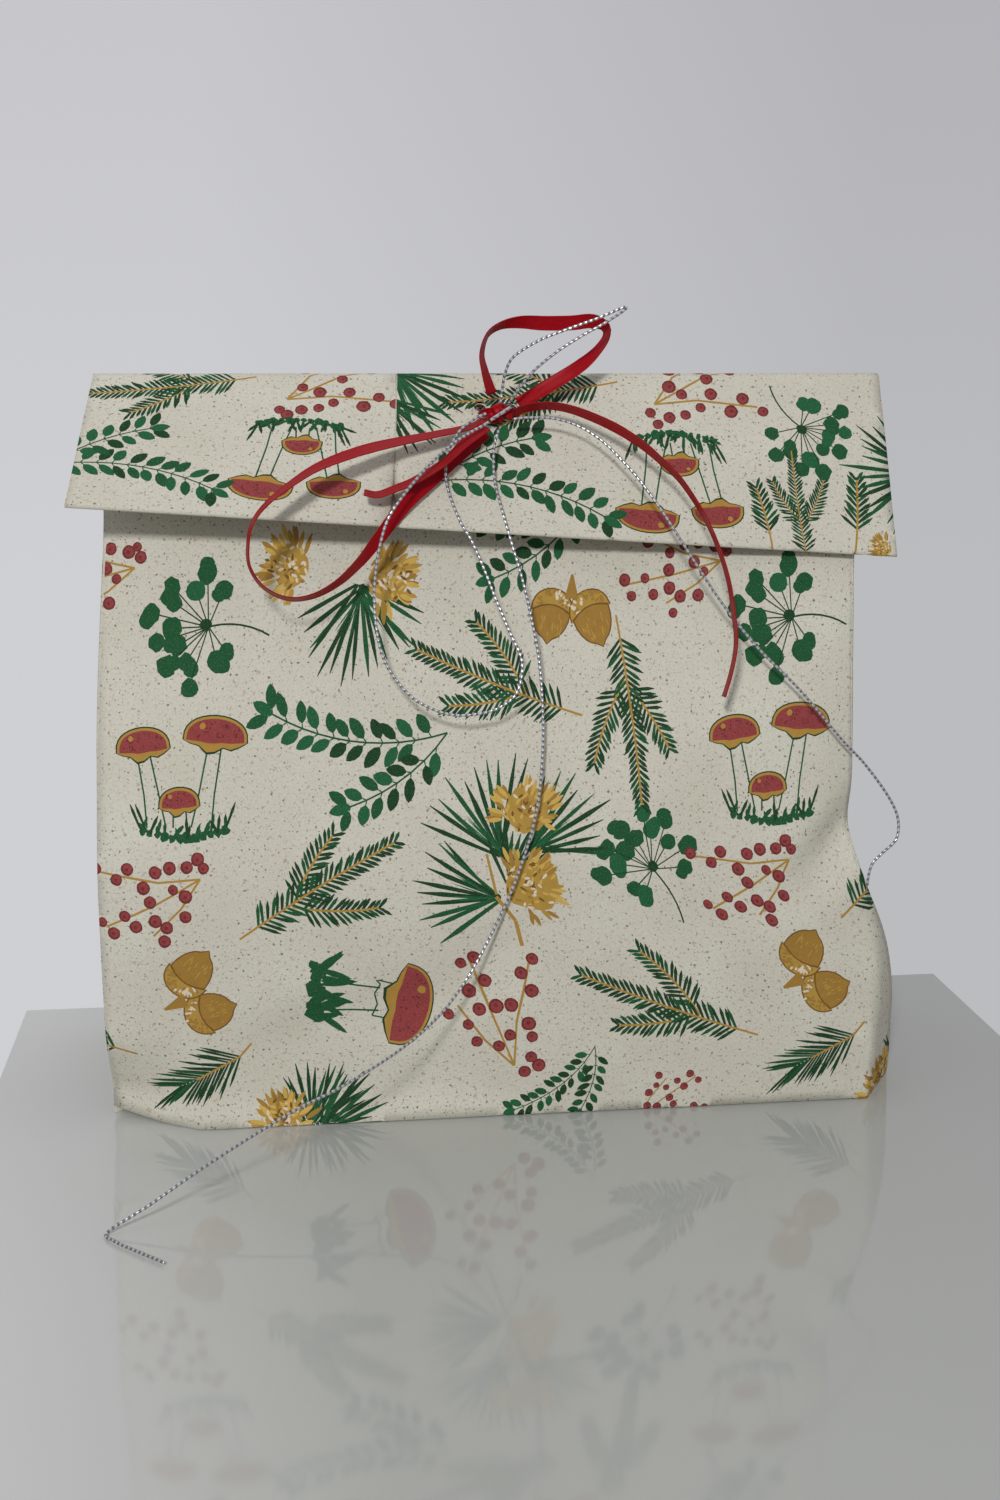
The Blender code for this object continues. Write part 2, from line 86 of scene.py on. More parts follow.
# Print
SEAM_CLEAR = 0.16          # mm between the seam's line and the print on each side
TILE = 139.0               # mm, the print's repeat round the bag
BOTTOM_LENGTH = 52.0       # mm, how far the block bottom's flaps reach in
TUCK_IN = 30.0             # mm, how far the side tucks reach in under them
GUSSET_TOP = 161.0         # mm, the side panels' height
SIDE_PHASE = 126.0         # mm from a side panel's middle fold to the middle of the front
LEFT_PHASE, RIGHT_PHASE = 18.0, -31.0      # mm, where the print starts on each side of the back's seam
PAST_EDGE = 95.0           # mm, a little past the sheets' side edges
GRID = 2.8                 # mm between the sheets' grid lines
FRONT_SEED, FLAP_SEED, SEAM_SEED = 100, 300, 400
INKS = {
    "green": (0.003, 0.070, 0.020), "pine": (0.001, 0.037, 0.010), "leaf": (0.005, 0.090, 0.030),
    "red": (0.235, 0.036, 0.038), "berry": (0.140, 0.018, 0.020), "ochre": (0.370, 0.225, 0.040),
    "amber": (0.510, 0.335, 0.075), "bronze": (0.290, 0.158, 0.026), "dusk": (0.150, 0.070, 0.010),
    "stem": (0.350, 0.200, 0.034), "pale": (0.600, 0.520, 0.400), "seam": (0.400, 0.370, 0.310),
}


# ---------------------------------------------------------------- the bag's surfaces

def lerp(table, height_mm):
    for (z0, v0), (z1, v1) in zip(table, table[1:]):
        if height_mm <= z1:
            t = max(0.0, (height_mm - z0) / (z1 - z0))
            return v0 + (v1 - v0) * t
    return table[-1][1]


def smooth(table, z):
    height = z * 1000.0
    reach = 7.0 * min(1.0, max(0.0, (HEIGHT_MM - height) / 20.0))
    total = sum(lerp(table, height + reach * step) for step in (-1.0, -0.5, 0.0, 0.5, 1.0))
    return total / 5000.0


def half_depth(z):
    return smooth(DEPTH_TABLE, z)


def edge_x(z, share):
    left, right = smooth(LEFT_TABLE, z), smooth(RIGHT_TABLE, z)
    return 0.5 * (left + right) + 0.5 * (right - left) * share


def corner_ease(share, z):
    belly = math.sin(math.pi * min(1.0, max(0.0, z / HEIGHT)))
    near = max(0.0, (abs(share) - 0.80) / 0.20)
    return 1.0 - 0.10 * belly * near * near


def step01(value, low, high):
    t = min(1.0, max(0.0, (value - low) / (high - low)))
    return t * t * (3.0 - 2.0 * t)


def dent(x, z, centre, size, turn):
    """A smooth bump of height 1 round centre, in mm, longer along its turned first axis."""
    dx, dz = x - centre[0], z - centre[1]
    c, s = math.cos(turn), math.sin(turn)
    u, v = (dx * c + dz * s) / size[0], (-dx * s + dz * c) / size[1]
    return math.exp(-u * u - v * v)


def wrinkle(x, z, seed):
    """Slow waves of handled paper, in mm."""
    place = Vector((x / 38.0, z / 30.0, seed))
    return 0.55 * noise.noise(place) + 0.22 * noise.noise(place * 2.7)


def front_point(s, t):
    """The front sheet, in mm on the paper: s across, t up from the base fold, under it when negative."""
    share = s / 90.0
    back, lift = toe(s, max(t, 0.0))
    strip = 82.5 + 7.5 * min(1.0, max(0.0, (t - 14.0) / 40.0))
    beyond = max(0.0, s - strip)
    if t < 0.0:
        narrow = 1.0 - 0.235 * (-t / BOTTOM_LENGTH)
        y = -half_depth(0.0) * corner_ease(share, 0.0) + back + (2.0 * beyond - t) * MM
        x = edge_x(0.0, share) * narrow + 0.30 * beyond * max(0.0, 1.0 + t / 8.0) * MM
        return Vector((x, y, 0.0002 + lift * max(0.0, 1.0 + t / 16.0)))
    z = t * MM
    depth = half_depth(z) * corner_ease(share, z)
    fade = step01(t, 0.0, 14.0) * step01(HEIGHT_MM - t, 3.0, 30.0)
    relief = wrinkle(s, t, 3.1) * fade
    relief -= 5.2 * dent(s, t, (84, 59), (18, 5), 0.80)
    relief += 2.2 * dent(s, t, (76, 48), (17, 4.5), 0.60)
    relief -= 1.2 * dent(s, t, (-40, 24), (24, 6), 0.35)
    relief += 0.6 * dent(s, t, (-22, 18), (22, 4), 0.30)
    relief -= 0.7 * dent(s, t, (-8, 34), (30, 5), 0.6)
    x = edge_x(z, share) + 0.30 * beyond * MM
    return Vector((x, -depth + back + (2.0 * beyond - relief) * MM, max(z + lift, 0.0002)))


def toe(s, t):
    """How far the front is pushed back and lifted, t mm up, round its flared lower left and its corners."""
    along = 1.0 - step01(s, -26.0, 14.0)
    back = 0.0030 * along * min(1.0, t / 5.2) * (1.0 - step01(t, 5.2, 60.0))
    corner = min(1.0, max(0.0, (-s - 70.0) / 20.0))
    fade = 1.0 - step01(t, 0.0, 24.0)
    back += 0.0115 * corner * fade
    return back, 0.0022 * corner * corner * (1.0 - step01(t, 0.0, 12.0))


def back_body_point(s, t):
    """The back panel below the crease, s across and t up in mm."""
    share = s / 90.0
    if t < 0.0:
        narrow = 1.0 - 0.245 * (-t / BOTTOM_LENGTH)
        return Vector((edge_x(0.0, share) * 0.99 * narrow, HALF_DEPTH - 0.0003 + t * MM, 0.0007))
    z = t * MM
    fade = step01(t, 0.0, 14.0) * step01(HEIGHT_MM - t, 3.0, 30.0)
    relief = wrinkle(s, t, 8.4) * fade
    relief -= 1.4 * dent(s, t, (60, 92), (30, 8), -0.5)
    relief -= 1.2 * dent(s, t, (-66, 40), (22, 7), 0.7)
    y = half_depth(z) * corner_ease(share, z) + relief * MM
    return Vector((edge_x(z, share), y, max(z, 0.0004)))


def flap_end(share):
    middle = Vector(FLAP_LEFT).lerp(Vector(FLAP_RIGHT), share)
    middle.y -= FLAP_BELLY * math.sin(math.pi * share)
    return middle


def flap_start(share, angle):
    x = -0.0895 + 0.179 * share
    return Vector((x, ARC_Y + ARC_RADIUS * math.cos(angle), ARC_Z + ARC_RADIUS * math.sin(angle)))


def flap_lean(share):
    end = flap_end(share)
    return math.atan2(ARC_Y - ARC_RADIUS - end.y, ARC_Z - end.z)


BODY_TOP = 161.9           # mm up the back where the crease begins
ARC_LENGTH = 6.0           # mm of paper over the crease
FACE_LENGTH = 41.0         # mm from the crease to the lower fold
TURN_LENGTH = 2.0          # mm round the lower fold
TUCK_LENGTH = 33.0         # mm turned up behind the face
MARKS = [BODY_TOP]
for stretch in (ARC_LENGTH, FACE_LENGTH, TURN_LENGTH, TUCK_LENGTH):
    MARKS.append(MARKS[-1] + stretch)


def back_point(s, w):
    """The back sheet in mm: up the back, over the crease, down the flap and up inside its fold."""
    if w <= MARKS[0]:
        return back_body_point(s, w)
    share = (s + 90.0) / 180.0
    lean = flap_lean(share)
    start, end = flap_start(share, math.pi - lean), flap_end(share)
    down = (end - start).normalized()
    out = Vector((0.0, -math.cos(lean), math.sin(lean)))
    if w <= MARKS[1]:
        turn = (w - MARKS[0]) / ARC_LENGTH
        joined = back_body_point(s, MARKS[0])
        place = flap_start(share, (math.pi - lean) * turn)
        return joined.lerp(place, step01(turn, 0.0, 0.25))
    if w <= MARKS[2]:
        t = (w - MARKS[1]) / FACE_LENGTH
        ripple = 0.35 * noise.noise(Vector((s / 26.0, t * 1.7, 5.0))) * math.sin(math.pi * t)
        ripple += 0.5 * dent(s, t * 41.0, (74, 20), (16, 12), 0.4) * math.sin(math.pi * t)
        return start.lerp(end, t) + out * ripple * MM
    radius = PLY_GAP / 2
    if w <= MARKS[3]:
        turn = math.pi * (w - MARKS[2]) / TURN_LENGTH
        return end + down * radius * math.sin(turn) - out * radius * (1.0 - math.cos(turn))
    t = (w - MARKS[3]) / TUCK_LENGTH
    low = end - out * PLY_GAP
    high = start - out * PLY_GAP + down * 0.0062
    return low.lerp(high, t)


def gusset_point(side, share, t):
    """A side panel: share -1 at the front fold, 1 at the back fold; t up in mm, its tuck when negative."""
    if t < 0.0:
        fold = gusset_point(side, share, 0.0)
        middle = 0.5 * (front_point(side * 90.0, 0.0).y + HALF_DEPTH)
        narrow = 1.0 - 0.30 * (-t / TUCK_IN) - 0.02
        y = middle + (fold.y - middle) * narrow
        return Vector((fold.x + side * t * MM, y, 0.0012 + 0.0012 * math.exp(t / 3.0)))
    z = t * MM
    front, back = front_point(side * 90.0, t), back_body_point(side * 90.0, t)
    depth = min(0.5 * (back.y - front.y), GUSSET_FOLD)
    inset = math.sqrt(max(0.0, GUSSET_FOLD ** 2 - depth ** 2))
    fold = 1.0 - abs(share)
    rounded = 1.0 - math.sqrt(share * share + 0.0016)
    middle = front.lerp(back, 0.5 + 0.5 * share)
    puff = 1.6 * math.sin(math.pi * abs(share)) * step01(t, 8.0, 40.0) * (1.0 - step01(t, 90.0, 130.0))
    squeeze = 0.0 if share == 0.0 else math.copysign(0.0003, share) * fold
    x = middle.x - side * (inset * max(0.0, rounded) - puff * MM * 0.4)
    return Vector((x - side * 0.0001, middle.y + squeeze, max(z, 0.0004)))


# ---------------------------------------------------------------- the print's motifs

LENS = ((0.0, 0.0), (0.18, -0.36), (0.42, -0.5), (0.68, -0.45), (0.88, -0.25), (1.0, 0.0),
        (0.88, 0.25), (0.68, 0.45), (0.42, 0.5), (0.18, 0.36))
NEEDLE = ((0.0, -0.32), (0.70, -0.5), (1.0, -0.10), (1.0, 0.10), (0.70, 0.5), (0.0, 0.32))


def blade(outline, base, angle, length, width, ink):
    """The outline stretched to length and width, turned by angle and moved to its base point."""
    c, s = math.cos(angle), math.sin(angle)
    return ([(base[0] + c * a * length - s * b * width, base[1] + s * a * length + c * b * width)
             for a, b in outline], ink)


def lens(*place_and_ink):
    return blade(LENS, *place_and_ink)


def needle(*place_and_ink):
    return blade(NEEDLE, *place_and_ink)


def stroke(points, width, ink):
    """A line of even width, as one quad for each stretch."""
    made = []
    for a, b in zip(points, points[1:]):
        dx, dy = b[0] - a[0], b[1] - a[1]
        length = math.hypot(dx, dy) or 1.0
        nx, ny = -dy / length * width / 2, dx / length * width / 2
        made.append(([(a[0] + nx, a[1] + ny), (a[0] - nx, a[1] - ny),
                      (b[0] - nx, b[1] - ny), (b[0] + nx, b[1] + ny)], ink))
    return made


def disc(centre, radius, ink, rng=None, lumps=0.0, sides=12, squash=1.0):
    points = []
    for k in range(sides):
        angle = 2 * math.pi * k / sides
        r = radius * (1.0 + (rng.uniform(-lumps, lumps) if rng else 0.0))
        points.append((centre[0] + r * math.cos(angle), centre[1] + r * squash * math.sin(angle)))
    return (points, ink)


def bent(start, angle, length, bow, count):
    """Points and headings of a gently bowed line."""
    found, place = [], start
    for k in range(count + 1):
        heading = angle + bow * (k / count - 0.5)
        found.append((place, heading))
        place = (place[0] + math.cos(heading) * length / count,
                 place[1] + math.sin(heading) * length / count)
    return found


def fir_branch(start, angle, length, bow, rng, first):
    """One ochre stem with flat green needles on both sides."""
    count = max(4, round(length / 1.25))
    line = bent(start, angle, length, bow, count)
    made = []
    for k, (place, heading) in enumerate(line):
        share = k / count
        if share < first:
            continue
        reach = 5.2 * (1.0 - 0.45 * share) * rng.uniform(0.85, 1.1)
        for side in (-1, 1):
            lean = heading + side * rng.uniform(0.85, 1.1) * (1.0 - 0.3 * share)
            made.append(needle(place, lean, reach, 0.78, rng.choice(("green", "pine", "pine"))))
    made += stroke([p for p, _ in line], 0.46, "stem")
    return made


def fir(rng, length=40.0):
    """A fir sprig: the stem starts at the origin and points along +x."""
    fork = (length * 0.34, 0.4)
    made = fir_branch(fork, -0.50, length * 0.46, 0.35, rng, 0.12)
    made += fir_branch(fork, 0.50, length * 0.44, -0.30, rng, 0.12)
    return made + fir_branch((0.0, 0.0), 0.03, length, -0.12, rng, 0.10)


def firlet(rng, length=17.0):
    return fir_branch((0.0, 0.0), 0.0, length, 0.2, rng, 0.3)


def twig(rng, length=42.0):
    """A leafy twig of two arms from one base point, pointing along +x."""
    made = []
    for angle, share, bow in ((-0.08, 1.0, -0.75), (0.62, 0.66, -0.62)):
        reach = length * share
        count = round(reach / 3.9)
        line = bent((0.0, 0.0), angle, reach, bow, count)
        made += stroke([p for p, _ in line], 0.40, "green")
        for k, (place, heading) in enumerate(line[1:]):
            for side in (-1, 1):
                if k == 0 and (side > 0) == (angle < 0):
                    continue
                lean = heading + side * rng.uniform(0.70, 1.15)
                tip = (place[0] + math.cos(lean) * 1.0, place[1] + math.sin(lean) * 1.0)
                made += stroke([place, tip], 0.3, "green")
                made.append(lens(tip, lean, rng.uniform(4.6, 5.8), rng.uniform(2.4, 3.0),
                                 rng.choice(("green", "pine", "leaf"))))
        made.append(lens(line[-1][0], line[-1][1], 5.2, 2.6, "leaf"))
    return made


def cluster(rng):
    """Round lobed leaves on thin stalks from one point, with one long stem along +x."""
    made = stroke([p for p, _ in bent((0.5, 0.2), 0.0, 14.0, -0.7, 6)], 0.42, "pine")
    made.append(disc((-0.6, 0.2), 1.5, "pine", rng, 0.14, 11, 0.85))
    spots = ((75, 9.0), (108, 12.0), (128, 8.6), (146, 13.0), (163, 10.2), (176, 14.6), (190, 9.0),
             (205, 13.0), (222, 8.4), (232, 13.2), (252, 9.4), (262, 14.0), (300, 8.0), (322, 7.4))
    for degrees, reach in spots:
        angle = math.radians(degrees + rng.uniform(-4, 4))
        end = (math.cos(angle) * reach * 0.93, math.sin(angle) * reach * 0.93)
        made += stroke([(0.0, 0.0), end], 0.3, "pine")
        ink = rng.choice(("green", "leaf", "green"))
        made.append(disc(end, rng.uniform(1.9, 2.5), ink, rng, 0.12, 13))
        if rng.random() < 0.45:
            shift = rng.uniform(0, 6.28)
            made.append(disc((end[0] + 1.7 * math.cos(shift), end[1] + 1.7 * math.sin(shift)),
                             rng.uniform(1.5, 2.0), ink, rng, 0.10, 11))
    return made


def acorns(rng):
    """Two acorns side by side under one stub, pointing along +y."""
    made = []
    for centre, tilt, length in (((-4.3, 0.8), -0.16, 6.1), ((4.3, 0.5), 0.41, 7.0)):
        c, sn = math.cos(tilt), math.sin(tilt)

        def place(x, y, centre=centre, c=c, sn=sn):
            return (centre[0] + x * c - y * sn, centre[1] + x * sn + y * c)

        def cup(grow):
            turns = [math.pi * k / 12 for k in range(13)]
            dome = [place((4.5 + grow) * math.cos(a), -0.2 + (4.7 + grow) * abs(math.sin(a)) ** 0.8)
                    for a in turns]
            return dome + [place(-2.0, 0.6), place(2.0, 0.6)]

        def nut(grow):
            top = [place((4.0 + grow) * x, 1.3 * (1 - x * x) + grow)
                   for x in (1.0, 0.6, 0.2, -0.2, -0.6, -1.0)]
            under = [place(-(4.0 + grow) * math.cos(math.pi * k / 12),
                           -(length - 0.9 + grow) * math.sin(math.pi * k / 12)) for k in range(1, 12)]
            under[5] = place(0.0, -length - grow)
            return top + under

        made += [(cup(0.2), "dusk"), (cup(-0.1), "ochre")]
        for k in range(44):
            a, r = rng.uniform(0.2, 2.94), rng.uniform(0.45, 0.90)
            pale = k % 2 and abs(a - math.pi / 2 - 0.6 * math.copysign(1.0, centre[0])) < 0.7
            made.append(lens(place(4.2 * r * math.cos(a), 0.4 + 4.0 * r * math.sin(a)), a + tilt, 0.8, 0.5,
                             "pale" if pale else "bronze"))
        made += [(nut(0.25), "dusk"), (nut(-0.05), "bronze")]
        for _ in range(16):
            x, y = rng.uniform(-2.8, 2.8), rng.uniform(-0.62 * length, 0.2)
            made.append(lens(place(x, y), tilt - 1.57, rng.uniform(0.8, 1.6), 0.28, "ochre"))
    made += [([(-1.5, 3.3), (1.6, 3.3), (0.4, 8.0), (-0.1, 8.0)], "bronze")]
    return made


def mushroom_cap(centre, width, height, tilt, rng):
    """A red cap with an ochre rim below and a thin green outline."""
    def place(x, y):
        c, s = math.cos(tilt), math.sin(tilt)
        return (centre[0] + x * c - y * s, centre[1] + x * s + y * c)

    def dome(grow, sag):
        w, h = width / 2 + grow, height * 0.72 + grow
        upper = [place(w * math.cos(a), h * math.sin(a) ** 0.75)
                 for a in (math.pi * k / 14 for k in range(15))]
        lower = [place(-w + 2 * w * k / 8,
                       -sag * math.sin(math.pi * k / 8) * (1.0 + 0.35 * math.cos(k * 1.9)))
                 for k in range(1, 8)]
        return upper + lower

    made = [(dome(0.35, height * 0.34), "pine"), (dome(0.05, height * 0.28), "stem")]
    made.append((dome(-0.5, height * 0.06), "red"))
    for _ in range(round(width * 3)):
        x, y = rng.uniform(-0.40, 0.40) * width, rng.uniform(0.05, 0.55) * height
        if (2.2 * x / width) ** 2 + (y / height / 0.66) ** 2 < 1.0:
            made.append(disc(place(x, y), rng.uniform(0.12, 0.30), "berry", rng, 0.4, 6))
    made.append(disc(place(-width * 0.22, height * 0.42), width * 0.05, "stem", rng, 0.1, 9))
    return made


def grass(rng, width, count):
    """Tufts and short blades along a base line."""
    made = []
    for k in range(count):
        x = -width / 2 + width * k / (count - 1)
        drop = -1.6 * math.cos(math.pi * x / width)
        made.append(disc((x, drop), rng.uniform(0.7, 1.25), "green", rng, 0.3, 9))
        for _ in range(2):
            lean = math.pi / 2 + rng.uniform(-0.9, 0.9) - 0.7 * x / width
            made.append(needle((x, drop), lean, rng.uniform(2.0, 4.6), 0.8, rng.choice(("green", "pine"))))
    return made


def mushrooms(rng):
    """Three mushrooms in grass, upright along +y, the origin in the middle."""
    made = []
    for foot, top, half, height in ((-6.2, -9.4, 1.9, 5.0), (4.0, 7.4, 2.0, 7.0), (-0.8, -1.0, 1.4, -7.4)):
        for side in (-1, 1):
            line = [(foot + side * half * 1.15, -11.8),
                    (foot + side * half * 0.9 + (top - foot) * 0.35, -5.0),
                    (top + side * half * 0.75, height)]
            made += stroke(line if height > 0 else [line[0], (top + side * half, height)], 0.38, "green")
    for _ in range(16):
        foot = rng.choice((-6.2, 4.0))
        spot = (foot + rng.uniform(-1.4, 1.4), rng.uniform(-11.0, -3.0))
        made.append(disc(spot, 0.2, "green", None, 0.0, 5))
    made += mushroom_cap((-9.2, 4.6), 12.0, 6.6, 0.10, rng)
    made += mushroom_cap((7.2, 6.4), 14.4, 7.2, -0.08, rng)
    made += mushroom_cap((-1.0, -7.4), 9.0, 5.6, 0.05, rng)
    made += [([(x, y - 12.6) for x, y in points], ink) for points, ink in grass(rng, 19.0, 12)]
    for x in (-11.0, -9.8, 8.8):
        made.append(needle((x + 1.0, -11.8), 2.0 if x < 0 else 1.2, 5.6, 0.7, "pine"))
    return made


def toadstool(rng):
    """One stout mushroom lying on its side: its foot at -x, its cap at +x."""
    made = []
    for y in (3.0, -3.2):
        made += stroke([(-8.0, y * 1.2), (-1.0, y), (4.6, y * 0.9)], 0.42, "green")
    made += stroke([(3.6, 4.6), (4.6, 3.6), (3.4, 1.2), (4.2, -1.4), (3.2, -4.2)], 0.36, "green")
    made += stroke([(4.0, 4.6), (10.0, 3.6)], 0.36, "green")
    made += stroke([(3.2, -4.2), (9.0, -4.8)], 0.36, "green")
    made += mushroom_cap((9.0, -0.4), 19.4, 10.0, -math.pi / 2 - 0.16, rng)
    for k in range(15):
        y = -5.5 + 12.5 * k / 14
        made.append(disc((-9.6 + rng.uniform(-1, 1), y), rng.uniform(1.1, 2.1), "green", rng, 0.25, 9))
        made.append(lens((-9.0, y), rng.uniform(-0.6, 0.9), rng.uniform(4.5, 9.0), 1.5, "green"))
    return made


def berries(rng):
    """Red berries on forked ochre stalks, pointing along -x from the fork at the right."""
    made = []
    arms = (((11.0, 4.2), (1.0, 3.6), (-13.0, 5.8)), ((11.0, 4.2), (0.0, -1.6), (-12.0, -7.0)),
            ((11.0, 4.2), (6.0, -2.6), (-1.0, -9.0)))
    for arm in arms:
        made += stroke(arm, 0.5, "stem")
    spots = ((-13.6, 6.4), (-9.6, 4.0), (-6.4, 6.6), (-2.6, 2.4), (0.6, 5.6), (4.0, 2.2), (-12.8, -6.0),
             (-10.2, -9.0), (-7.6, -4.0), (-4.8, -7.2), (-1.8, -1.4), (-0.4, -5.0), (1.2, -10.2),
             (2.6, -7.0), (6.8, -4.6), (8.4, 7.6), (12.2, 6.8), (10.4, 9.2), (7.4, 0.2), (4.0, 7.0))
    for x, y in spots:
        x, y = x + rng.uniform(-0.6, 0.6), y + rng.uniform(-0.6, 0.6)
        size = rng.uniform(1.2, 1.7)
        made.append(disc((x, y), size, "berry", rng, 0.05))
        made.append(disc((x + 0.1, y + 0.1), size * 0.74, "red", rng, 0.06, 9))
        made.append(disc((x - 0.15, y - 0.1), size * 0.30, "berry", None, 0.0, 7))
    return made


def fan(rng, reach=19.0, spread=1.15):
    """A spray of long pine needles from the origin along +x."""
    made = []
    count = round(spread * 13)
    for k in range(count + 1):
        angle = spread * (k / count - 0.5) * 2.0
        length = reach * (0.82 + 0.18 * math.cos(angle)) * rng.uniform(0.84, 1.06)
        made.append(needle((rng.uniform(-0.6, 2.4), 0.8 * angle), angle + rng.uniform(-0.03, 0.03), length,
                           rng.uniform(0.95, 1.2), rng.choice(("green", "pine", "pine"))))
    for _ in range(8):
        angle = spread * rng.uniform(-0.8, 0.8)
        made.append(needle((2.0, 0.0), angle, reach * 0.5, 0.3, "leaf"))
    return made


def cone(rng, length=15.0, width=10.0):
    """A pine cone of open ochre scales along +x."""
    made = [disc((length * 0.44, 0.0), width * 0.42, "ochre", rng, 0.10, 18, 0.94)]
    for _ in range(34):
        angle = rng.uniform(-2.3, 2.3)
        reach = rng.uniform(0.30, 0.46)
        spot = (length * (0.40 + reach * 0.62 * math.cos(angle)), width * reach * 1.05 * math.sin(angle))
        made.append(lens(spot, angle * 0.8 + rng.uniform(-0.25, 0.25), rng.uniform(2.6, 4.6), 1.0,
                         rng.choice(("ochre", "amber", "bronze"))))
    for _ in range(60):
        angle, reach = rng.uniform(0.0, 6.28), rng.uniform(0.0, 0.40)
        spot = (length * (0.42 + reach * 0.8 * math.cos(angle)), width * reach * 0.95 * math.sin(angle))
        made.append(lens(spot, rng.uniform(-1.2, 1.2), rng.uniform(1.0, 1.9), 0.6,
                         rng.choice(("amber", "dusk", "pale", "bronze"))))
    return made


def feather(rng, length=26.0):
    """A soft pine tip: long needles swept back along a short stem that ends at the origin."""
    made = []
    count = 17
    for k in range(count):
        x = -length * 0.60 * k / (count - 1)
        for side in (-1, 1):
            lean = math.pi - side * rng.uniform(0.62, 0.86) * (1.0 - 0.55 * k / count)
            made.append(needle((x, 0.0), lean, rng.uniform(7.5, 10.5), 0.66,
                               rng.choice(("green", "pine", "pine"))))
    made += stroke([(4.0, 1.6), (0.0, 0.0), (-length * 0.45, 0.0)], 0.5, "stem")
    return made


def cone_group(rng):
    """Two cones among three sprays of needles on one stalk; the stalk's foot points along -y."""
    made = []
    for x, y, degrees, reach in ((-4.0, -10.0, 174, 20), (-3.0, -1.0, 118, 22), (3.0, 1.0, 38, 20),
                                 (-2.0, -6.0, 70, 12)):
        made += turned(fan(rng, reach, 0.72), x, y, math.radians(degrees))
    made += stroke([(-5.6, -9.5), (-2.0, -15.0), (-1.4, -21.0)], 0.9, "stem")
    made += stroke([(-7.0, 0.0), (-5.4, -9.0)], 0.6, "stem")
    made += turned(cone(rng, 17.0, 13.0), 1.5, 3.0, math.radians(86))
    made += turned(cone(rng, 20.0, 15.5), -5.0, -10.0, math.radians(24))
    return made


def turned(shapes, x, y, angle, size=1.0):
    c, s = math.cos(angle) * size, math.sin(angle) * size
    return [([(x + c * a - s * b, y + s * a + c * b) for a, b in points], ink) for points, ink in shapes]


MOTIFS = {"fir": fir, "firlet": firlet, "twig": twig, "cluster": cluster, "acorns": acorns,
          "mushrooms": mushrooms, "toadstool": toadstool, "berries": berries, "fan": fan,
          "cone": cone, "feather": feather, "cone_group": cone_group}

# Where each motif stands on the front in mm across and up, its turn in degrees and its size
FRONT_PRINT = (
    ("cluster", -65, 111, -12, 1.0), ("cluster", 39, 57, -78, 0.93),
    ("acorns", 20.2, 112.0, 0, 1.1), ("acorns", -68.7, 31.7, 115, 1.1),
    ("mushrooms", -70, 81, 0, 1.0), ("toadstool", -34, 29, -8, 1.0),
    ("fir", 23, 91, 158, 1.05), ("fir", 31, 112, -83, 1.03), ("fir", -59, 44, 27, 1.07),
    ("fir", 55.6, 17, 156, 1.06), ("twig", -9, 88, 176, 1.0), ("twig", 22, 135, 178, 0.92),
    ("twig", 18, 16, 222, 0.56), ("cone_group", 7, 61, -4, 1.0), ("fan", -30, 119, -88, 1.0),
    ("cone", -40, 121, 160, 1.1), ("cone", -31, 121, -6, 1.15), ("fan", -46, -1, 62, 0.74),
    ("fan", -45, -2, 14, 0.86), ("cone", -50.5, -5, 100, 1.0), ("feather", -61, 16, 28, 0.95),
    ("berries", -77, 54, 0, 0.95), ("berries", -3, 24, -98, 1.05),
    ("berries", 35, 2, 190, 0.6), ("berries", 46, 122, -14, 0.9),
    ("fan", -20, 158, 240, 1.0), ("fir", 62, 150, 200, 1.0), ("mushrooms", 2, 154, 0, 0.9),
)

# On the flap, mm across and down from the crease, as seen on its face
FLAP_PRINT = (
    ("fir", -54, 0, 187, 0.95), ("fir", 28, 1, 187, 1.0), ("berries", -36, 2, 183, 1.0),
    ("berries", 47, 2, 183, 1.0), ("mushrooms", -44, 26, 178, 0.93), ("mushrooms", 40, 28, 180, 0.97),
    ("twig", -95, 29, -6, 0.84), ("twig", -14, 29, -8, 0.92), ("cluster", 70, 12, 118, 0.85),
    ("fir", 69, 45, 92, 0.68), ("firlet", 61, 43, 100, 0.95), ("firlet", 80, 42, 84, 1.05),
    ("fan", 98, 22, 190, 0.9), ("cone", 90, 40, 180, 0.5),
)
SEAM_FAN = (("fan", -24.5, -3, -50, 1.05), ("fan", -25.5, 5, -84, 0.9))


def motif_shapes(kind, seed):
    return MOTIFS[kind](random.Random(seed))


def front_shapes(shift):
    """The repeat's shapes moved shift mm across; one seed a motif, so that every copy matches."""
    made = []
    for index, (kind, x, y, degrees, size) in enumerate(FRONT_PRINT):
        if -PAST_EDGE - 1.0 < x + shift < PAST_EDGE + 3.0:
            made += turned(motif_shapes(kind, FRONT_SEED + index), x + shift, y, math.radians(degrees), size)
    return made


def clipped(points, low, high):
    """The outline cut to the box from low to high."""
    for axis in (0, 1):
        for limit, sign in ((low[axis], 1.0), (high[axis], -1.0)):
            kept = []
            for a, b in zip(points, points[1:] + points[:1]):
                inside_a, inside_b = sign * (a[axis] - limit) >= 0, sign * (b[axis] - limit) >= 0
                if inside_a:
                    kept.append(a)
                if inside_a != inside_b:
                    t = (limit - a[axis]) / (b[axis] - a[axis])
                    kept.append((a[0] + (b[0] - a[0]) * t, a[1] + (b[1] - a[1]) * t))
            points = kept
            if len(points) < 3:
                return []
    return points


def outline_area(points):
    return 0.5 * sum(a[0] * b[1] - b[0] * a[1] for a, b in zip(points, points[1:] + points[:1]))


def new_object(name, data):
    obj = bpy.data.objects.new(name, data)
    bpy.context.scene.collection.objects.link(obj)
    return obj


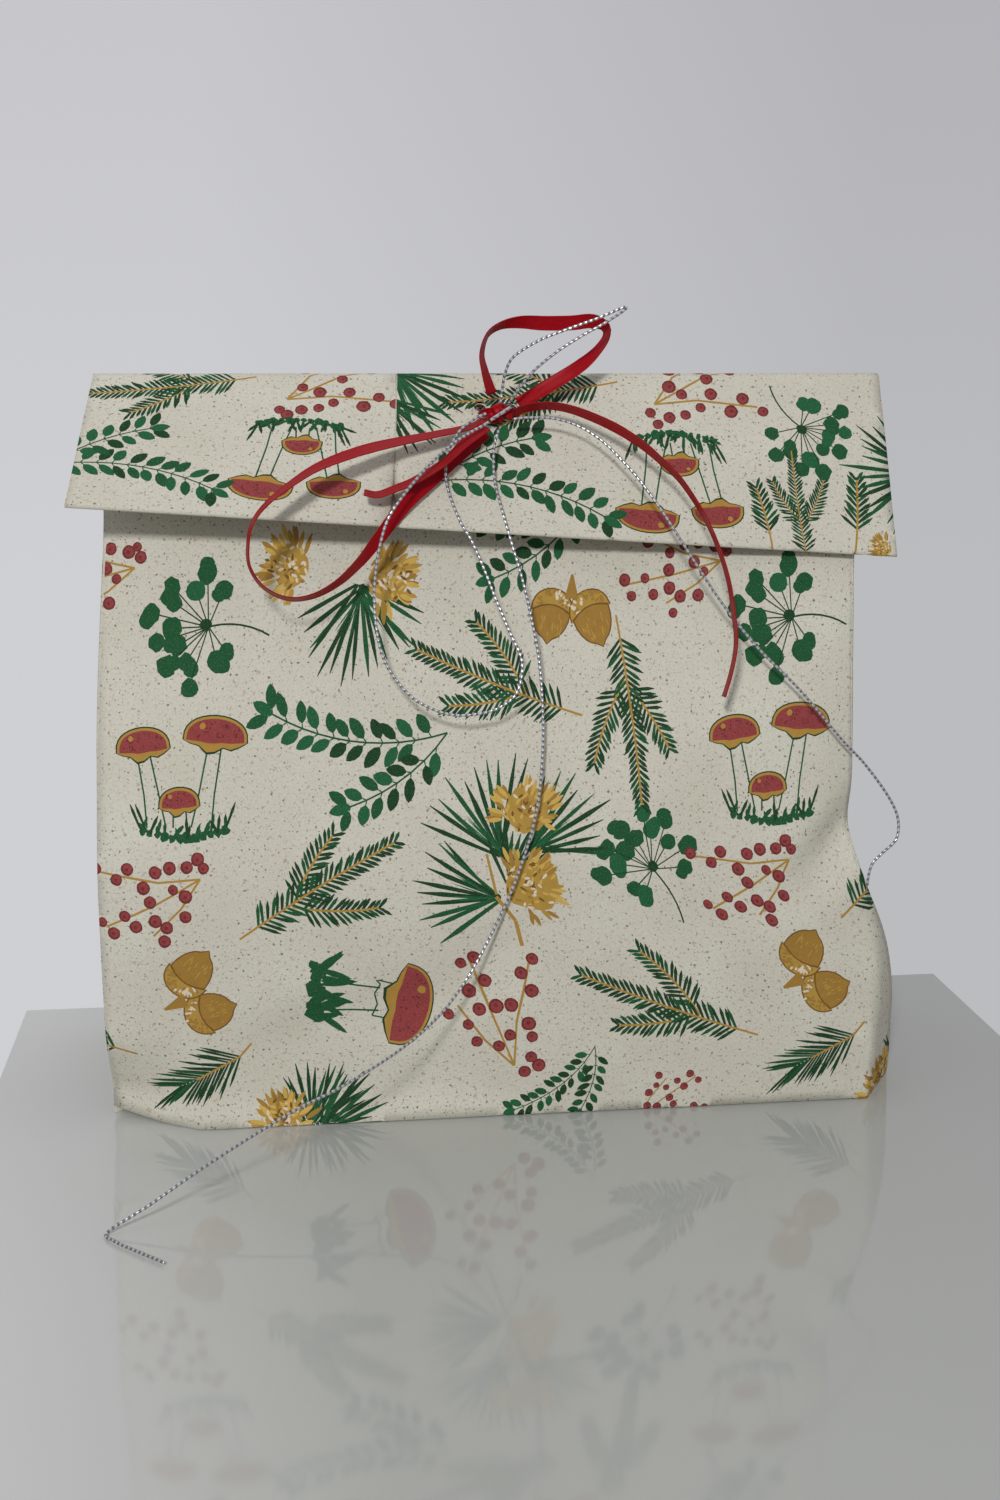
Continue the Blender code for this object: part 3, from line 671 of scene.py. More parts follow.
def fill_attribute(mesh, name, kind, domain, field, values):
    layer = mesh.attributes.new(name, kind, domain)
    layer.data.foreach_set(field, [number for value in values for number in value])


def printed_sheet(name, surface, columns, rows, shapes, looks, flip=False, holes=()):
    """A paper sheet over surface(s, t), its print cut into its own faces.

    columns and rows are the grid's marks in mm, shapes the print's outlines from back to front.
    """
    low, high = (columns[0], rows[0]), (columns[-1], rows[-1])
    points = [Vector((s, t)) for t in rows for s in columns]
    outlines, inks = [], []
    for outline, ink in shapes:
        cut = clipped(list(outline), low, high)
        if len(cut) < 3 or abs(outline_area(cut)) < 0.004:
            continue
        if outline_area(cut) < 0.0:
            cut.reverse()
        first = len(points)
        points += [Vector(p) for p in cut]
        outlines.append(list(range(first, len(points))))
        inks.append(ink)
    for centre in holes:
        first = len(points)
        ring, _ = disc(centre, HOLE_RADIUS, None, sides=20)
        points += [Vector(p) for p in ring]
        outlines.append(list(range(first, len(points))))
        inks.append(None)
    flat, _, faces, _, _, owners = geometry.delaunay_2d_cdt(points, [], outlines, 0, 1e-4, True)
    kept, colours = [], []
    for face, owner in zip(faces, owners):
        ink = inks[max(owner)] if owner else "paper"
        if ink is None:
            continue
        kept.append(tuple(reversed(face)) if flip else tuple(face))
        colours.append(INKS.get(ink))
    mesh = bpy.data.meshes.new(name)
    mesh.from_pydata([surface(p.x, p.y) for p in flat], [], kept)
    fill_attribute(mesh, "sheet", "FLOAT_VECTOR", "POINT", "vector", [(p.x, p.y, 0.0) for p in flat])
    fill_attribute(mesh, "ink", "FLOAT_COLOR", "CORNER", "color",
                   [(*(colour or INKS["pale"]), 1.0) for colour in colours for _ in range(3)])
    fill_attribute(mesh, "cover", "FLOAT", "CORNER", "value",
                   [(0.0 if colour is None else 1.0,) for colour in colours for _ in range(3)])
    mesh.polygons.foreach_set("use_smooth", [True] * len(mesh.polygons))
    obj = new_object(name, mesh)
    for look in looks:
        mesh.materials.append(look)
    solid = obj.modifiers.new("paper", "SOLIDIFY")
    solid.thickness = SKIN
    solid.offset = -1.0
    solid.material_offset = 1
    solid.material_offset_rim = 1
    return obj


def marks(start, end, gap, extra=()):
    """Even marks from start to end no more than gap apart, with the extra ones merged in."""
    count = max(1, math.ceil((end - start) / gap))
    even = [start + (end - start) * k / count for k in range(count + 1)]
    extra = [e for e in extra if start < e < end]
    even = [e for e in even if e in (start, end) or all(abs(e - x) > 0.35 for x in extra)]
    return sorted(even + list(extra))


# ---------------------------------------------------------------- materials

class Nodes:
    """Short calls for building a node tree."""

    def __init__(self, name):
        self.material = bpy.data.materials.new(name)
        self.material.use_nodes = True
        self.tree = self.material.node_tree
        self.shader = self.tree.nodes["Principled BSDF"]

    def add(self, kind, **settings):
        node = self.tree.nodes.new(kind)
        for key, value in settings.items():
            setattr(node, key, value)
        return node

    def link(self, source, target):
        self.tree.links.new(source, target)

    def attribute(self, name, output="Vector"):
        return self.add("ShaderNodeAttribute", attribute_name=name).outputs[output]

    def noise(self, place, scale, detail=2.0, rough=0.5):
        node = self.add("ShaderNodeTexNoise")
        node.inputs["Scale"].default_value = scale
        node.inputs["Detail"].default_value = detail
        node.inputs["Roughness"].default_value = rough
        self.link(place, node.inputs["Vector"])
        return node.outputs["Fac"]

    def ramp(self, value, *stops):
        node = self.add("ShaderNodeValToRGB")
        while len(node.color_ramp.elements) < len(stops):
            node.color_ramp.elements.new(0.5)
        for element, (place, grey) in zip(node.color_ramp.elements, stops):
            element.position = place
            element.color = (grey, grey, grey, 1.0)
        self.link(value, node.inputs["Fac"])
        return node.outputs["Color"]

    def mix(self, factor, a, b, blend="MIX"):
        node = self.add("ShaderNodeMix", data_type="RGBA", blend_type=blend)
        for socket, value in ((node.inputs[0], factor), (node.inputs[6], a), (node.inputs[7], b)):
            if isinstance(value, bpy.types.NodeSocket):
                self.link(value, socket)
            else:
                socket.default_value = value if isinstance(value, float) else (*value, 1.0)
        return node.outputs[2]

    def maths(self, operation, a, b):
        node = self.add("ShaderNodeMath", operation=operation)
        for socket, value in zip(node.inputs, (a, b)):
            if isinstance(value, bpy.types.NodeSocket):
                self.link(value, socket)
            else:
                socket.default_value = value
        return node.outputs[0]

    def bump(self, height, strength, distance):
        node = self.add("ShaderNodeBump")
        node.inputs["Strength"].default_value = strength
        node.inputs["Distance"].default_value = distance
        self.link(height, node.inputs["Height"])
        self.link(node.outputs["Normal"], self.shader.inputs["Normal"])

    def split(self, source):
        node = self.add("ShaderNodeSeparateXYZ")
        self.link(source, node.inputs[0])
        return node.outputs

    def object_mm(self):
        scale = self.add("ShaderNodeVectorMath", operation="SCALE")
        self.link(self.add("ShaderNodeTexCoord").outputs["Object"], scale.inputs[0])
        scale.inputs["Scale"].default_value = 1000.0
        return scale.outputs[0]

    def set(self, **values):
        for name, value in values.items():
            self.shader.inputs[name.replace("_", " ")].default_value = value


PAPER_COLOURS = ((0.559, 0.537, 0.448), (0.611, 0.596, 0.512))
FLECKS = (                 # noise scale, detail and roughness, ramp from and to, strength, colour
    (1.7, 3.0, 0.7, 0.40, 0.62, 0.30, (0.44, 0.40, 0.32)),
    (0.95, 1.0, 0.5, 0.64, 0.70, 0.55, (0.34, 0.23, 0.15)),
    (2.3, 0.0, 0.5, 0.68, 0.73, 0.34, (0.20, 0.16, 0.12)),
    (1.35, 0.0, 0.5, 0.735, 0.765, 0.75, (0.11, 0.08, 0.06)),
)


def paper_ground(n, place):
    """Recycled paper: a warm grey ground with brown and dark flecks. place is in mm."""
    cloud = n.ramp(n.noise(place, 0.05, 3.0), (0.3, 0.0), (0.7, 1.0))
    ground = n.mix(cloud, *PAPER_COLOURS)
    for scale, detail, rough, low, high, share, colour in FLECKS:
        spots = n.ramp(n.noise(place, scale, detail, rough), (low, 0.0), (high, 1.0))
        ground = n.mix(n.maths("MULTIPLY", spots, share), ground, colour)
    return ground


def paper_relief(n, place, strength=0.35):
    fibres = n.noise(place, 2.6, 3.0, 0.65)
    tooth = n.noise(place, 0.5, 2.0)
    height = n.maths("ADD", n.maths("MULTIPLY", fibres, 0.5), n.maths("MULTIPLY", tooth, 0.8))
    n.bump(height, strength, 0.00012)
    rough = n.ramp(n.noise(place, 0.7, 2.0), (0.3, 0.72), (0.7, 0.9))
    n.link(rough, n.shader.inputs["Roughness"])


def printed_paper():
    n = Nodes("printed_paper")
    place = n.attribute("sheet")
    ground = paper_ground(n, place)
    ink = n.attribute("ink", "Color")
    grain = n.ramp(n.noise(place, 2.9, 2.0, 0.7), (0.30, 0.88), (0.46, 1.0))
    shade = n.ramp(n.noise(place, 0.45, 2.0), (0.3, 0.0), (0.7, 1.0))
    tinted = n.mix(n.maths("MULTIPLY", shade, 0.35), ink, n.mix(1.0, ink, (1.4, 1.35, 1.3), "MULTIPLY"))
    cover = n.maths("MULTIPLY", n.attribute("cover", "Fac"), grain)
    cover = n.maths("MULTIPLY", cover, 0.985)
    n.link(n.mix(cover, ground, tinted), n.shader.inputs["Base Color"])
    paper_relief(n, place)
    n.set(Specular_IOR_Level=0.12)
    return n.material


def plain_paper():
    """The unprinted side of the sheets."""
    n = Nodes("plain_paper")
    place = n.attribute("sheet")
    n.link(paper_ground(n, place), n.shader.inputs["Base Color"])
    paper_relief(n, place, 0.25)
    n.set(Specular_IOR_Level=0.12)
    return n.material


def satin(name, coordinate="along"):
    """Deep red satin: fine threads across a smooth face. along is (mm along, mm across, 0)."""
    n = Nodes(name)
    place = n.attribute("along") if coordinate == "along" else n.object_mm()
    stretch = n.add("ShaderNodeVectorMath", operation="MULTIPLY")
    n.link(place, stretch.inputs[0])
    stretch.inputs[1].default_value = (0.35, 7.0, 1.0)
    threads = n.noise(stretch.outputs[0], 1.0, 2.0)
    tone = n.ramp(threads, (0.3, 0.0), (0.7, 1.0))
    n.link(n.mix(tone, (0.235, 0.0012, 0.005), (0.340, 0.002, 0.008)), n.shader.inputs["Base Color"])
    n.link(n.ramp(threads, (0.3, 0.36), (0.7, 0.48)), n.shader.inputs["Roughness"])
    n.bump(threads, 0.25, 0.00005)
    n.set(Specular_IOR_Level=0.22, Anisotropic=0.5)
    n.shader.inputs["Specular Tint"].default_value = (1.0, 0.45, 0.45, 1.0)
    return n.material


def silver(name, coordinate="along"):
    """Metallic threads with painted glints. With the along attribute the glints fall at even steps along the
    cord and the grooves between its turns get painted shade; with object coordinates the glints are random
    specks.
    """
    n = Nodes(name)
    if coordinate == "along":
        run, lobe, _ = n.split(n.attribute("along"))
        # Painted glints at even steps along the cord, and painted shade in the grooves where the lobe is low
        wave = n.maths("SINE", n.maths("MULTIPLY", run, 2 * math.pi / GLINT_SPACING), 0.0)
        gap = n.ramp(n.maths("ADD", n.maths("MULTIPLY", wave, 0.5), 0.5), (0.30, 0.0), (0.62, 1.0))
        deep = n.ramp(lobe, (0.74, 0.0), (0.86, 1.0))
        painted_glint_and_shade = n.maths("MULTIPLY", gap, deep)
    else:
        # Painted glints: random bright specks over the cord
        painted_glint_and_shade = n.ramp(n.noise(n.object_mm(), 2.4, 1.0), (0.40, 0.0), (0.60, 1.0))
    n.link(n.mix(painted_glint_and_shade, (0.18, 0.18, 0.19), (0.62, 0.62, 0.65)), n.shader.inputs["Base Color"])
    n.link(n.ramp(painted_glint_and_shade, (0.0, 0.50), (1.0, 0.24)), n.shader.inputs["Roughness"])
    n.set(Metallic=0.6)
    return n.material


# ---------------------------------------------------------------- ribbons and cords

def route(controls, step):
    """Points in metres along a smooth curve through the controls in metres, step apart."""
    points = [Vector(p) for p in controls]
    points = [2 * points[0] - points[1]] + points + [2 * points[-1] - points[-2]]
    fine = []
    for a, b, c, d in zip(points, points[1:], points[2:], points[3:]):
        for k in range(12):
            t = k / 12
            fine.append(0.5 * (2 * b + (c - a) * t + (2 * a - 5 * b + 4 * c - d) * t * t
                               + (3 * b - a - 3 * c + d) * t ** 3))
    fine.append(points[-2])
    lengths = [0.0]
    for a, b in zip(fine, fine[1:]):
        lengths.append(lengths[-1] + (b - a).length)
    count = max(2, round(lengths[-1] / step))
    found, index = [], 0
    for k in range(count + 1):
        goal = lengths[-1] * k / count
        while index < len(fine) - 2 and lengths[index + 1] < goal:
            index += 1
        share = (goal - lengths[index]) / (lengths[index + 1] - lengths[index])
        found.append(fine[index].lerp(fine[index + 1], min(1.0, share)))
    return found


def tangents(points):
    last = len(points) - 1
    return [(points[min(i + 1, last)] - points[max(i - 1, 0)]).normalized() for i in range(last + 1)]


def ribbon_sections(points, rolls):
    """For each point the band's place, its direction across and the way its face looks.

    A roll is how far in degrees the face is turned away from the front, at even marks on the route.
    """
    heads = tangents(points)
    sections, before = [], None
    for i, (point, head) in enumerate(zip(points, heads)):
        mark = i / (len(points) - 1) * (len(rolls) - 1)
        index = min(int(mark), len(rolls) - 2)
        roll = math.radians(rolls[index] + (rolls[index + 1] - rolls[index]) * (mark - index))
        flat = head.cross(FRONT - point).normalized()
        if before is not None and flat.dot(before) < 0:
            flat = -flat
        before = flat
        wide = (flat * math.cos(roll) + head.cross(flat) * math.sin(roll)).normalized()
        sections.append((point, wide, wide.cross(head).normalized()))
    return sections


RIBBON_PROFILE = ((-1.0, 0.5), (-0.96, 1.25), (-0.88, 1.2), (-0.80, 0.8), (-0.4, 0.9), (0.0, 0.95),
                  (0.4, 0.9), (0.80, 0.8), (0.88, 1.2), (0.96, 1.25), (1.0, 0.5))


def tube_faces(rings, sides):
    """Quads between neighbouring rings of points, and a face over each end."""
    faces = []
    for i in range(rings - 1):
        for k in range(sides):
            a, b = sides * i + k, sides * i + (k + 1) % sides
            faces.append((a, b, b + sides, a + sides))
    last = sides * (rings - 1)
    return faces + [tuple(reversed(range(sides))), tuple(range(last, last + sides))]


def ribbon_mesh(name, points, rolls, look, width=RIBBON_WIDTH):
    """A satin band along the points, with a woven edge down each side."""
    half, thin = width / 2, RIBBON_THICK / 2
    profile = [(u * half, v * thin) for u, v in RIBBON_PROFILE]
    profile += [(u * half, -v * thin) for u, v in reversed(RIBBON_PROFILE)]
    made, places, run = [], [], 0.0
    for i, (point, wide, thick) in enumerate(ribbon_sections(points, rolls)):
        if i:
            run += (point - points[i - 1]).length
        cup = 0.00012 * noise.noise(Vector((run * 130.0, 0.0, len(points))))
        for u, v in profile:
            made.append(point + wide * u + thick * (v + cup * (1.0 - (u / half) ** 2)))
            places.append((run * 1000, u * 1000, 0.0))
    return finished_mesh(name, made, tube_faces(len(points), len(profile)), look, places)


def finished_mesh(name, points, faces, look, places):
    mesh = bpy.data.meshes.new(name)
    mesh.from_pydata(points, [], faces)
    layer = mesh.attributes.new("along", "FLOAT_VECTOR", "POINT")
    for index, place in enumerate(places):
        layer.data[index].vector = place
    for polygon in mesh.polygons:
        polygon.use_smooth = len(polygon.vertices) == 4
    mesh.materials.append(look)
    mesh.update()
    outward(mesh)
    return new_object(name, mesh)


def outward(mesh):
    """Turns the faces round if they point inwards."""
    total = 0.0
    for polygon in mesh.polygons:
        corners = [mesh.vertices[i].co for i in polygon.vertices]
        for b, c in zip(corners[1:], corners[2:]):
            total += corners[0].dot(b.cross(c))
    if total < 0:
        mesh.flip_normals()


def twisted_cord(name, points, look, radius=0.38 * CORD_DIAMETER, pitch=0.0036, plies=3):
    """A cord of plies strands twisted round each other, as one lobed tube."""
    heads = tangents(points)
    normal = heads[0].orthogonal().normalized()
    sides = 12
    made, places, run = [], [], 0.0
    for i, (point, head) in enumerate(zip(points, heads)):
        normal = (normal - head * normal.dot(head)).normalized()
        side = head.cross(normal)
        if i:
            run += (point - points[i - 1]).length
        twist = 2 * math.pi * run / pitch
        taper = 0.72 if i in (0, len(points) - 1) else 1.0
        for k in range(sides):
            angle = 2 * math.pi * k / sides
            lobe = 0.72 + 0.36 * abs(math.cos(0.5 * plies * (angle - twist)))
            r = radius * lobe * taper
            made.append(point + normal * math.cos(angle) * r + side * math.sin(angle) * r)
            # The lobe goes with each point, for the painted shade in the grooves between the plies
            places.append((run * 1000, lobe, 0.0))
    return finished_mesh(name, made, tube_faces(len(points), sides), look, places)


def knot_mesh(name, look):
    """The pulled-tight knot: a soft lump with one turn of the band round its middle."""
    slant = math.radians(34)
    along = Vector((math.cos(slant), 0.0, math.sin(slant)))
    up = Vector((-math.sin(slant), 0.0, math.cos(slant)))
    out = Vector((0.0, -1.0, 0.0))
    made, places = [], []
    rings, sides = 16, 20
    for i in range(rings + 1):
        u = -1.0 + 2.0 * i / rings
        waist = 1.0 - 0.32 * math.exp(-(u / 0.30) ** 2)
        end = math.sqrt(max(0.02, 1.0 - u ** 4))
        for k in range(sides):
            angle = 2 * math.pi * k / sides
            crease = 1.0 + 0.10 * math.sin(3 * angle + 2.2 * u)
            r = waist * end * crease
            made.append(KNOT + along * (u * 0.0026) + up * (math.cos(angle) * 0.0017 * r)
                        + out * (math.sin(angle) * 0.0014 * r))
            places.append((u * 2.6, angle, 0.0))
    faces = tube_faces(rings + 1, sides)
    first = len(made)
    turns = 28
    for i in range(turns):
        angle = 2 * math.pi * i / turns
        centre = KNOT + up * (math.cos(angle) * 0.00185) + out * (math.sin(angle) * 0.0014)
        normal = (up * math.cos(angle) / 0.00185 + out * math.sin(angle) / 0.0014).normalized()
        for u, v in ((-1, -0.3), (-0.9, 1), (-0.3, 1.25), (0.3, 1.0), (0.9, 1.1), (1, -0.3)):
            lean = 0.0003 * math.cos(angle)
            made.append(centre + along * (u * 0.00085 + lean) + normal * (v * 0.00016))
            places.append((angle * 2, u, 0.0))
    for i in range(turns):
        for k in range(6):
            a, b = first + 6 * i + k, first + 6 * i + (k + 1) % 6
            c, d = first + 6 * ((i + 1) % turns) + (k + 1) % 6, first + 6 * ((i + 1) % turns) + k
            faces.append((a, b, c, d))
    return finished_mesh(name, made, faces, look, places)


RIBBON_RIGHT_LOOP = (
    (-0.0020, -0.0124, 0.1604), (-0.0027, -0.0124, 0.1622), (-0.0037, -0.0124, 0.1656),
    (-0.0043, -0.0125, 0.1690), (-0.0032, -0.0130, 0.1729), (-0.0004, -0.0135, 0.1750),
    (0.0039, -0.0140, 0.1758), (0.0094, -0.0140, 0.1756), (0.0155, -0.0135, 0.1757),
    (0.0200, -0.0130, 0.1761), (0.0230, -0.0125, 0.1749), (0.0234, -0.0120, 0.1725),
    (0.0208, -0.0115, 0.1690), (0.0168, -0.0115, 0.1658), (0.0110, -0.0115, 0.1623),
    (0.0054, -0.0115, 0.1590), (0.0039, -0.0115, 0.1582),
)
RIBBON_LEFT_LOOP = (
    (-0.0036, -0.0122, 0.1550), (-0.0072, -0.0140, 0.1533), (-0.0156, -0.0170, 0.1517),
    (-0.0239, -0.0200, 0.1503), (-0.0319, -0.0240, 0.1486), (-0.0401, -0.0280, 0.1459),
    (-0.0459, -0.0320, 0.1428), (-0.0519, -0.0355, 0.1384), (-0.0550, -0.0370, 0.1344),
    (-0.0560, -0.0375, 0.1299), (-0.0557, -0.0370, 0.1253), (-0.0529, -0.0365, 0.1210),
    (-0.0480, -0.0355, 0.1185), (-0.0427, -0.0340, 0.1188), (-0.0374, -0.0320, 0.1213),
    (-0.0325, -0.0295, 0.1254), (-0.0280, -0.0270, 0.1305), (-0.0222, -0.0240, 0.1373),
    (-0.0159, -0.0200, 0.1425), (-0.0094, -0.0160, 0.1477), (-0.0036, -0.0136, 0.1522),
)
RIBBON_LEFT_TAIL = (
    (-0.0039, -0.0152, 0.1534), (-0.0085, -0.0180, 0.1501), (-0.0137, -0.0215, 0.1459),
    (-0.0201, -0.0240, 0.1423), (-0.0243, -0.0250, 0.1407), (-0.0282, -0.0255, 0.1394),
    (-0.0312, -0.0255, 0.1399),
)
RIBBON_RIGHT_TAIL = (
    (0.0029, -0.0134, 0.1564), (0.0059, -0.0134, 0.1574), (0.0108, -0.0136, 0.1578),
    (0.0164, -0.0148, 0.1567), (0.0239, -0.0180, 0.1535), (0.0296, -0.0210, 0.1499),
    (0.0337, -0.0235, 0.1463), (0.0374, -0.0260, 0.1425), (0.0403, -0.0285, 0.1381),
    (0.0427, -0.0310, 0.1335), (0.0451, -0.0335, 0.1272), (0.0468, -0.0355, 0.1207),
    (0.0477, -0.0370, 0.1139), (0.0481, -0.0380, 0.1093), (0.0478, -0.0385, 0.1052),
    (0.0467, -0.0390, 0.1003), (0.0454, -0.0394, 0.0962),
)
SILVER_TOP_LOOP = (
    (-0.0004, -0.0144, 0.1586), (0.0000, -0.0144, 0.1617), (0.0006, -0.0152, 0.1651),
    (0.0023, -0.0160, 0.1684), (0.0076, -0.0170, 0.1718), (0.0134, -0.0178, 0.1741),
    (0.0205, -0.0183, 0.1766), (0.0253, -0.0184, 0.1786), (0.0267, -0.0186, 0.1789),
    (0.0253, -0.0192, 0.1777), (0.0215, -0.0196, 0.1754), (0.0166, -0.0192, 0.1727),
    (0.0113, -0.0184, 0.1693), (0.0061, -0.0170, 0.1649), (0.0029, -0.0156, 0.1607),
    (0.0014, -0.0146, 0.1584),
)
SILVER_LOWER_LOOP = (
    (-0.0036, -0.0146, 0.1562), (-0.0065, -0.0154, 0.1549), (-0.0099, -0.0164, 0.1522),
    (-0.0124, -0.0182, 0.1477), (-0.0131, -0.0212, 0.1417), (-0.0109, -0.0250, 0.1344),
    (-0.0082, -0.0274, 0.1294), (-0.0058, -0.0298, 0.1236), (-0.0033, -0.0322, 0.1167),
    (-0.0007, -0.0344, 0.1102), (0.0016, -0.0363, 0.1042), (0.0004, -0.0376, 0.0979),
    (-0.0033, -0.0382, 0.0948), (-0.0073, -0.0384, 0.0936), (-0.0131, -0.0384, 0.0933),
    (-0.0184, -0.0379, 0.0949), (-0.0230, -0.0369, 0.0979), (-0.0273, -0.0352, 0.1037),
    (-0.0291, -0.0338, 0.1095), (-0.0297, -0.0320, 0.1174), (-0.0293, -0.0314, 0.1233),
    (-0.0283, -0.0310, 0.1289), (-0.0264, -0.0304, 0.1346), (-0.0226, -0.0284, 0.1399),
    (-0.0172, -0.0249, 0.1455), (-0.0116, -0.0210, 0.1499), (-0.0072, -0.0186, 0.1524),
    (-0.0039, -0.0170, 0.1540),
)
SILVER_LEFT_TAIL = (
    (-0.0010, -0.0156, 0.1526), (-0.0022, -0.0172, 0.1483), (-0.0024, -0.0202, 0.1420),
    (-0.0010, -0.0239, 0.1351), (0.0009, -0.0267, 0.1277), (0.0028, -0.0284, 0.1207),
    (0.0044, -0.0299, 0.1132), (0.0058, -0.0316, 0.1050), (0.0064, -0.0336, 0.0963),
    (0.0064, -0.0354, 0.0874), (0.0058, -0.0369, 0.0793), (0.0050, -0.0377, 0.0732),
    (0.0034, -0.0382, 0.0662), (0.0017, -0.0384, 0.0609), (-0.0005, -0.0386, 0.0547),
    (-0.0030, -0.0390, 0.0492), (-0.0056, -0.0398, 0.0442), (-0.0086, -0.0412, 0.0391),
    (-0.0121, -0.0432, 0.0342), (-0.0180, -0.0472, 0.0285), (-0.0267, -0.0536, 0.0239),
    (-0.0387, -0.0600, 0.0192), (-0.0482, -0.0650, 0.0167), (-0.0574, -0.0700, 0.0135),
    (-0.0683, -0.0760, 0.0092), (-0.0781, -0.0805, 0.0044), (-0.0860, -0.0840, 0.0009),
    (-0.0846, -0.0876, 0.0007), (-0.0796, -0.0926, 0.0007), (-0.0743, -0.0976, 0.0007),
)
SILVER_RIGHT_TAIL = (
    (0.0024, -0.0152, 0.1550), (0.0052, -0.0153, 0.1553), (0.0107, -0.0156, 0.1552),
    (0.0162, -0.0166, 0.1537), (0.0215, -0.0188, 0.1504), (0.0265, -0.0216, 0.1453),
    (0.0301, -0.0240, 0.1408), (0.0340, -0.0262, 0.1351), (0.0385, -0.0280, 0.1280),
    (0.0426, -0.0292, 0.1216), (0.0458, -0.0300, 0.1168), (0.0495, -0.0310, 0.1118),
    (0.0554, -0.0325, 0.1048), (0.0640, -0.0339, 0.0963), (0.0738, -0.0340, 0.0851),
    (0.0801, -0.0325, 0.0787), (0.0858, -0.0325, 0.0712), (0.0881, -0.0330, 0.0661),
    (0.0876, -0.0340, 0.0616), (0.0842, -0.0348, 0.0586), (0.0819, -0.0352, 0.0564),
    (0.0810, -0.0354, 0.0536), (0.0808, -0.0354, 0.0512),
)

RIBBONS = (
    ("ribbon_right_loop", RIBBON_RIGHT_LOOP, "object",
     (45, 60, 72, 78, 62, 35, 14, 8, 6, 20, 62, 52, 28, 18, 16, 20, 24)),
    ("ribbon_left_loop", RIBBON_LEFT_LOOP, "object",
     (66, 66, 62, 54, 48, 50, 58, 66, 74, 80, 81, 79, 74, 66, 54, 34, 18, 8, 4, 8, 16)),
    ("ribbon_left_tail", RIBBON_LEFT_TAIL, "bare", (30, 48, 58, 60, 60, 62, 66)),
    ("ribbon_right_tail", RIBBON_RIGHT_TAIL, "bare",
     (60, 60, 58, 55, 52, 56, 62, 68, 72, 74, 75, 75, 75, 75, 76, 76, 76)),
)
CORDS = (
    ("silver_top_loop", SILVER_TOP_LOOP, "object"), ("silver_lower_loop", SILVER_LOWER_LOOP, "object"),
    ("silver_left_tail", SILVER_LEFT_TAIL, "bare"), ("silver_right_tail", SILVER_RIGHT_TAIL, "bare"),
)


# ---------------------------------------------------------------- building

def build_paper():
    printed, plain = printed_paper(), plain_paper()
    looks = (printed, plain)
    columns = marks(-90, 90, GRID, (82.5, 85.8, 88.6))
    rows = marks(-BOTTOM_LENGTH, 0.0, 6.0) + marks(0.0, HEIGHT_MM - FRONT_TOP * 1000, GRID, (5.6,))[1:]
    holes = [(x, HOLE_Z) for x in HOLE_X]
    shapes = front_shapes(0.0) + front_shapes(TILE) + front_shapes(-TILE)
    front = printed_sheet("front_sheet", front_point, columns, rows, shapes, looks, holes=holes)
    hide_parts("front_panel", "bottom_front_flap")
    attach(front, "bag")

    back = printed_sheet("back_and_flap_sheet", back_point, marks(-90, 90, GRID), back_rows(),
                         back_shapes(), looks, flip=True, holes=back_holes())
    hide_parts("back_panel", "bottom_back_flap", "back_seam", "flap_outer_ply",
                "flap_turned_ply", "flap_seam")
    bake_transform(back)

    for side, name in ((-1, "left_gusset"), (1, "right_gusset")):
        panel = []
        for offset in (-TILE, 0.0, TILE):
            panel += front_shapes(offset - side * SIDE_PHASE)

        def surface(s, t, side=side):
            return gusset_point(side, side * s / 36.0, t)

        columns = marks(-36, 36, 2.6, (0.0,))
        rows = marks(-TUCK_IN, 0.0, 5.0) + marks(0.0, GUSSET_TOP, GRID)[1:]
        gusset = printed_sheet(name + "_sheet", surface, columns, rows, panel, looks)
        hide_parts(name, "bottom_" + name.split("_")[0] + "_tuck")
        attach(gusset, "bag")


def back_rows():
    rows = marks(-BOTTOM_LENGTH + 1.0, 0.0, 6.0) + marks(0.0, MARKS[0], GRID)[1:]
    rows += marks(MARKS[0], MARKS[1], 0.55)[1:] + marks(MARKS[1], MARKS[2], 2.6)[1:]
    return rows + marks(MARKS[2], MARKS[3], 0.25)[1:] + marks(MARKS[3], MARKS[4], 3.5)[1:]


def back_holes():
    """The two punched holes where they pass each layer of the back sheet."""
    drop = BODY_TOP - HOLE_Z + 2.0
    return ([(x, HOLE_Z) for x in HOLE_X] + [(x, MARKS[1] + drop) for x in HOLE_X]
            + [(x, MARKS[4] - 1.6) for x in HOLE_X])


def flap_shapes(prints, seeds):
    """Motifs as seen on the flap's face, turned into the back sheet's own mm."""
    made = []
    for index, (kind, x, down, degrees, size) in enumerate(prints):
        for points, ink in turned(motif_shapes(kind, seeds + index), x, -down, math.radians(degrees), size):
            made.append(([(a, MARKS[1] - b) for a, b in points], ink))
    return made


def back_shapes():
    """The print on the back and the flap, its phase broken at the glued seam."""
    made = []
    top = MARKS[1] - 4.0
    before, after = SEAM_X - SEAM_CLEAR, SEAM_X + SEAM_CLEAR
    for offset, low, high in ((LEFT_PHASE, -PAST_EDGE, before), (LEFT_PHASE - TILE, -PAST_EDGE, before),
                              (RIGHT_PHASE, after, PAST_EDGE), (RIGHT_PHASE + TILE, after, PAST_EDGE)):
        for points, ink in front_shapes(offset):
            cut = clipped([(-x, y) for x, y in points], (low, -60.0), (high, top))
            if cut:
                made.append((cut, ink))
    made += flap_shapes(FLAP_PRINT, FLAP_SEED)
    for points, ink in flap_shapes(SEAM_FAN, SEAM_SEED):
        cut = clipped(points, (after, top), (PAST_EDGE, MARKS[3]))
        if cut:
            made.append((cut, ink))
    made += stroke([(SEAM_X, 0.0), (SEAM_X, MARKS[3])], 0.22, "seam")
    return made


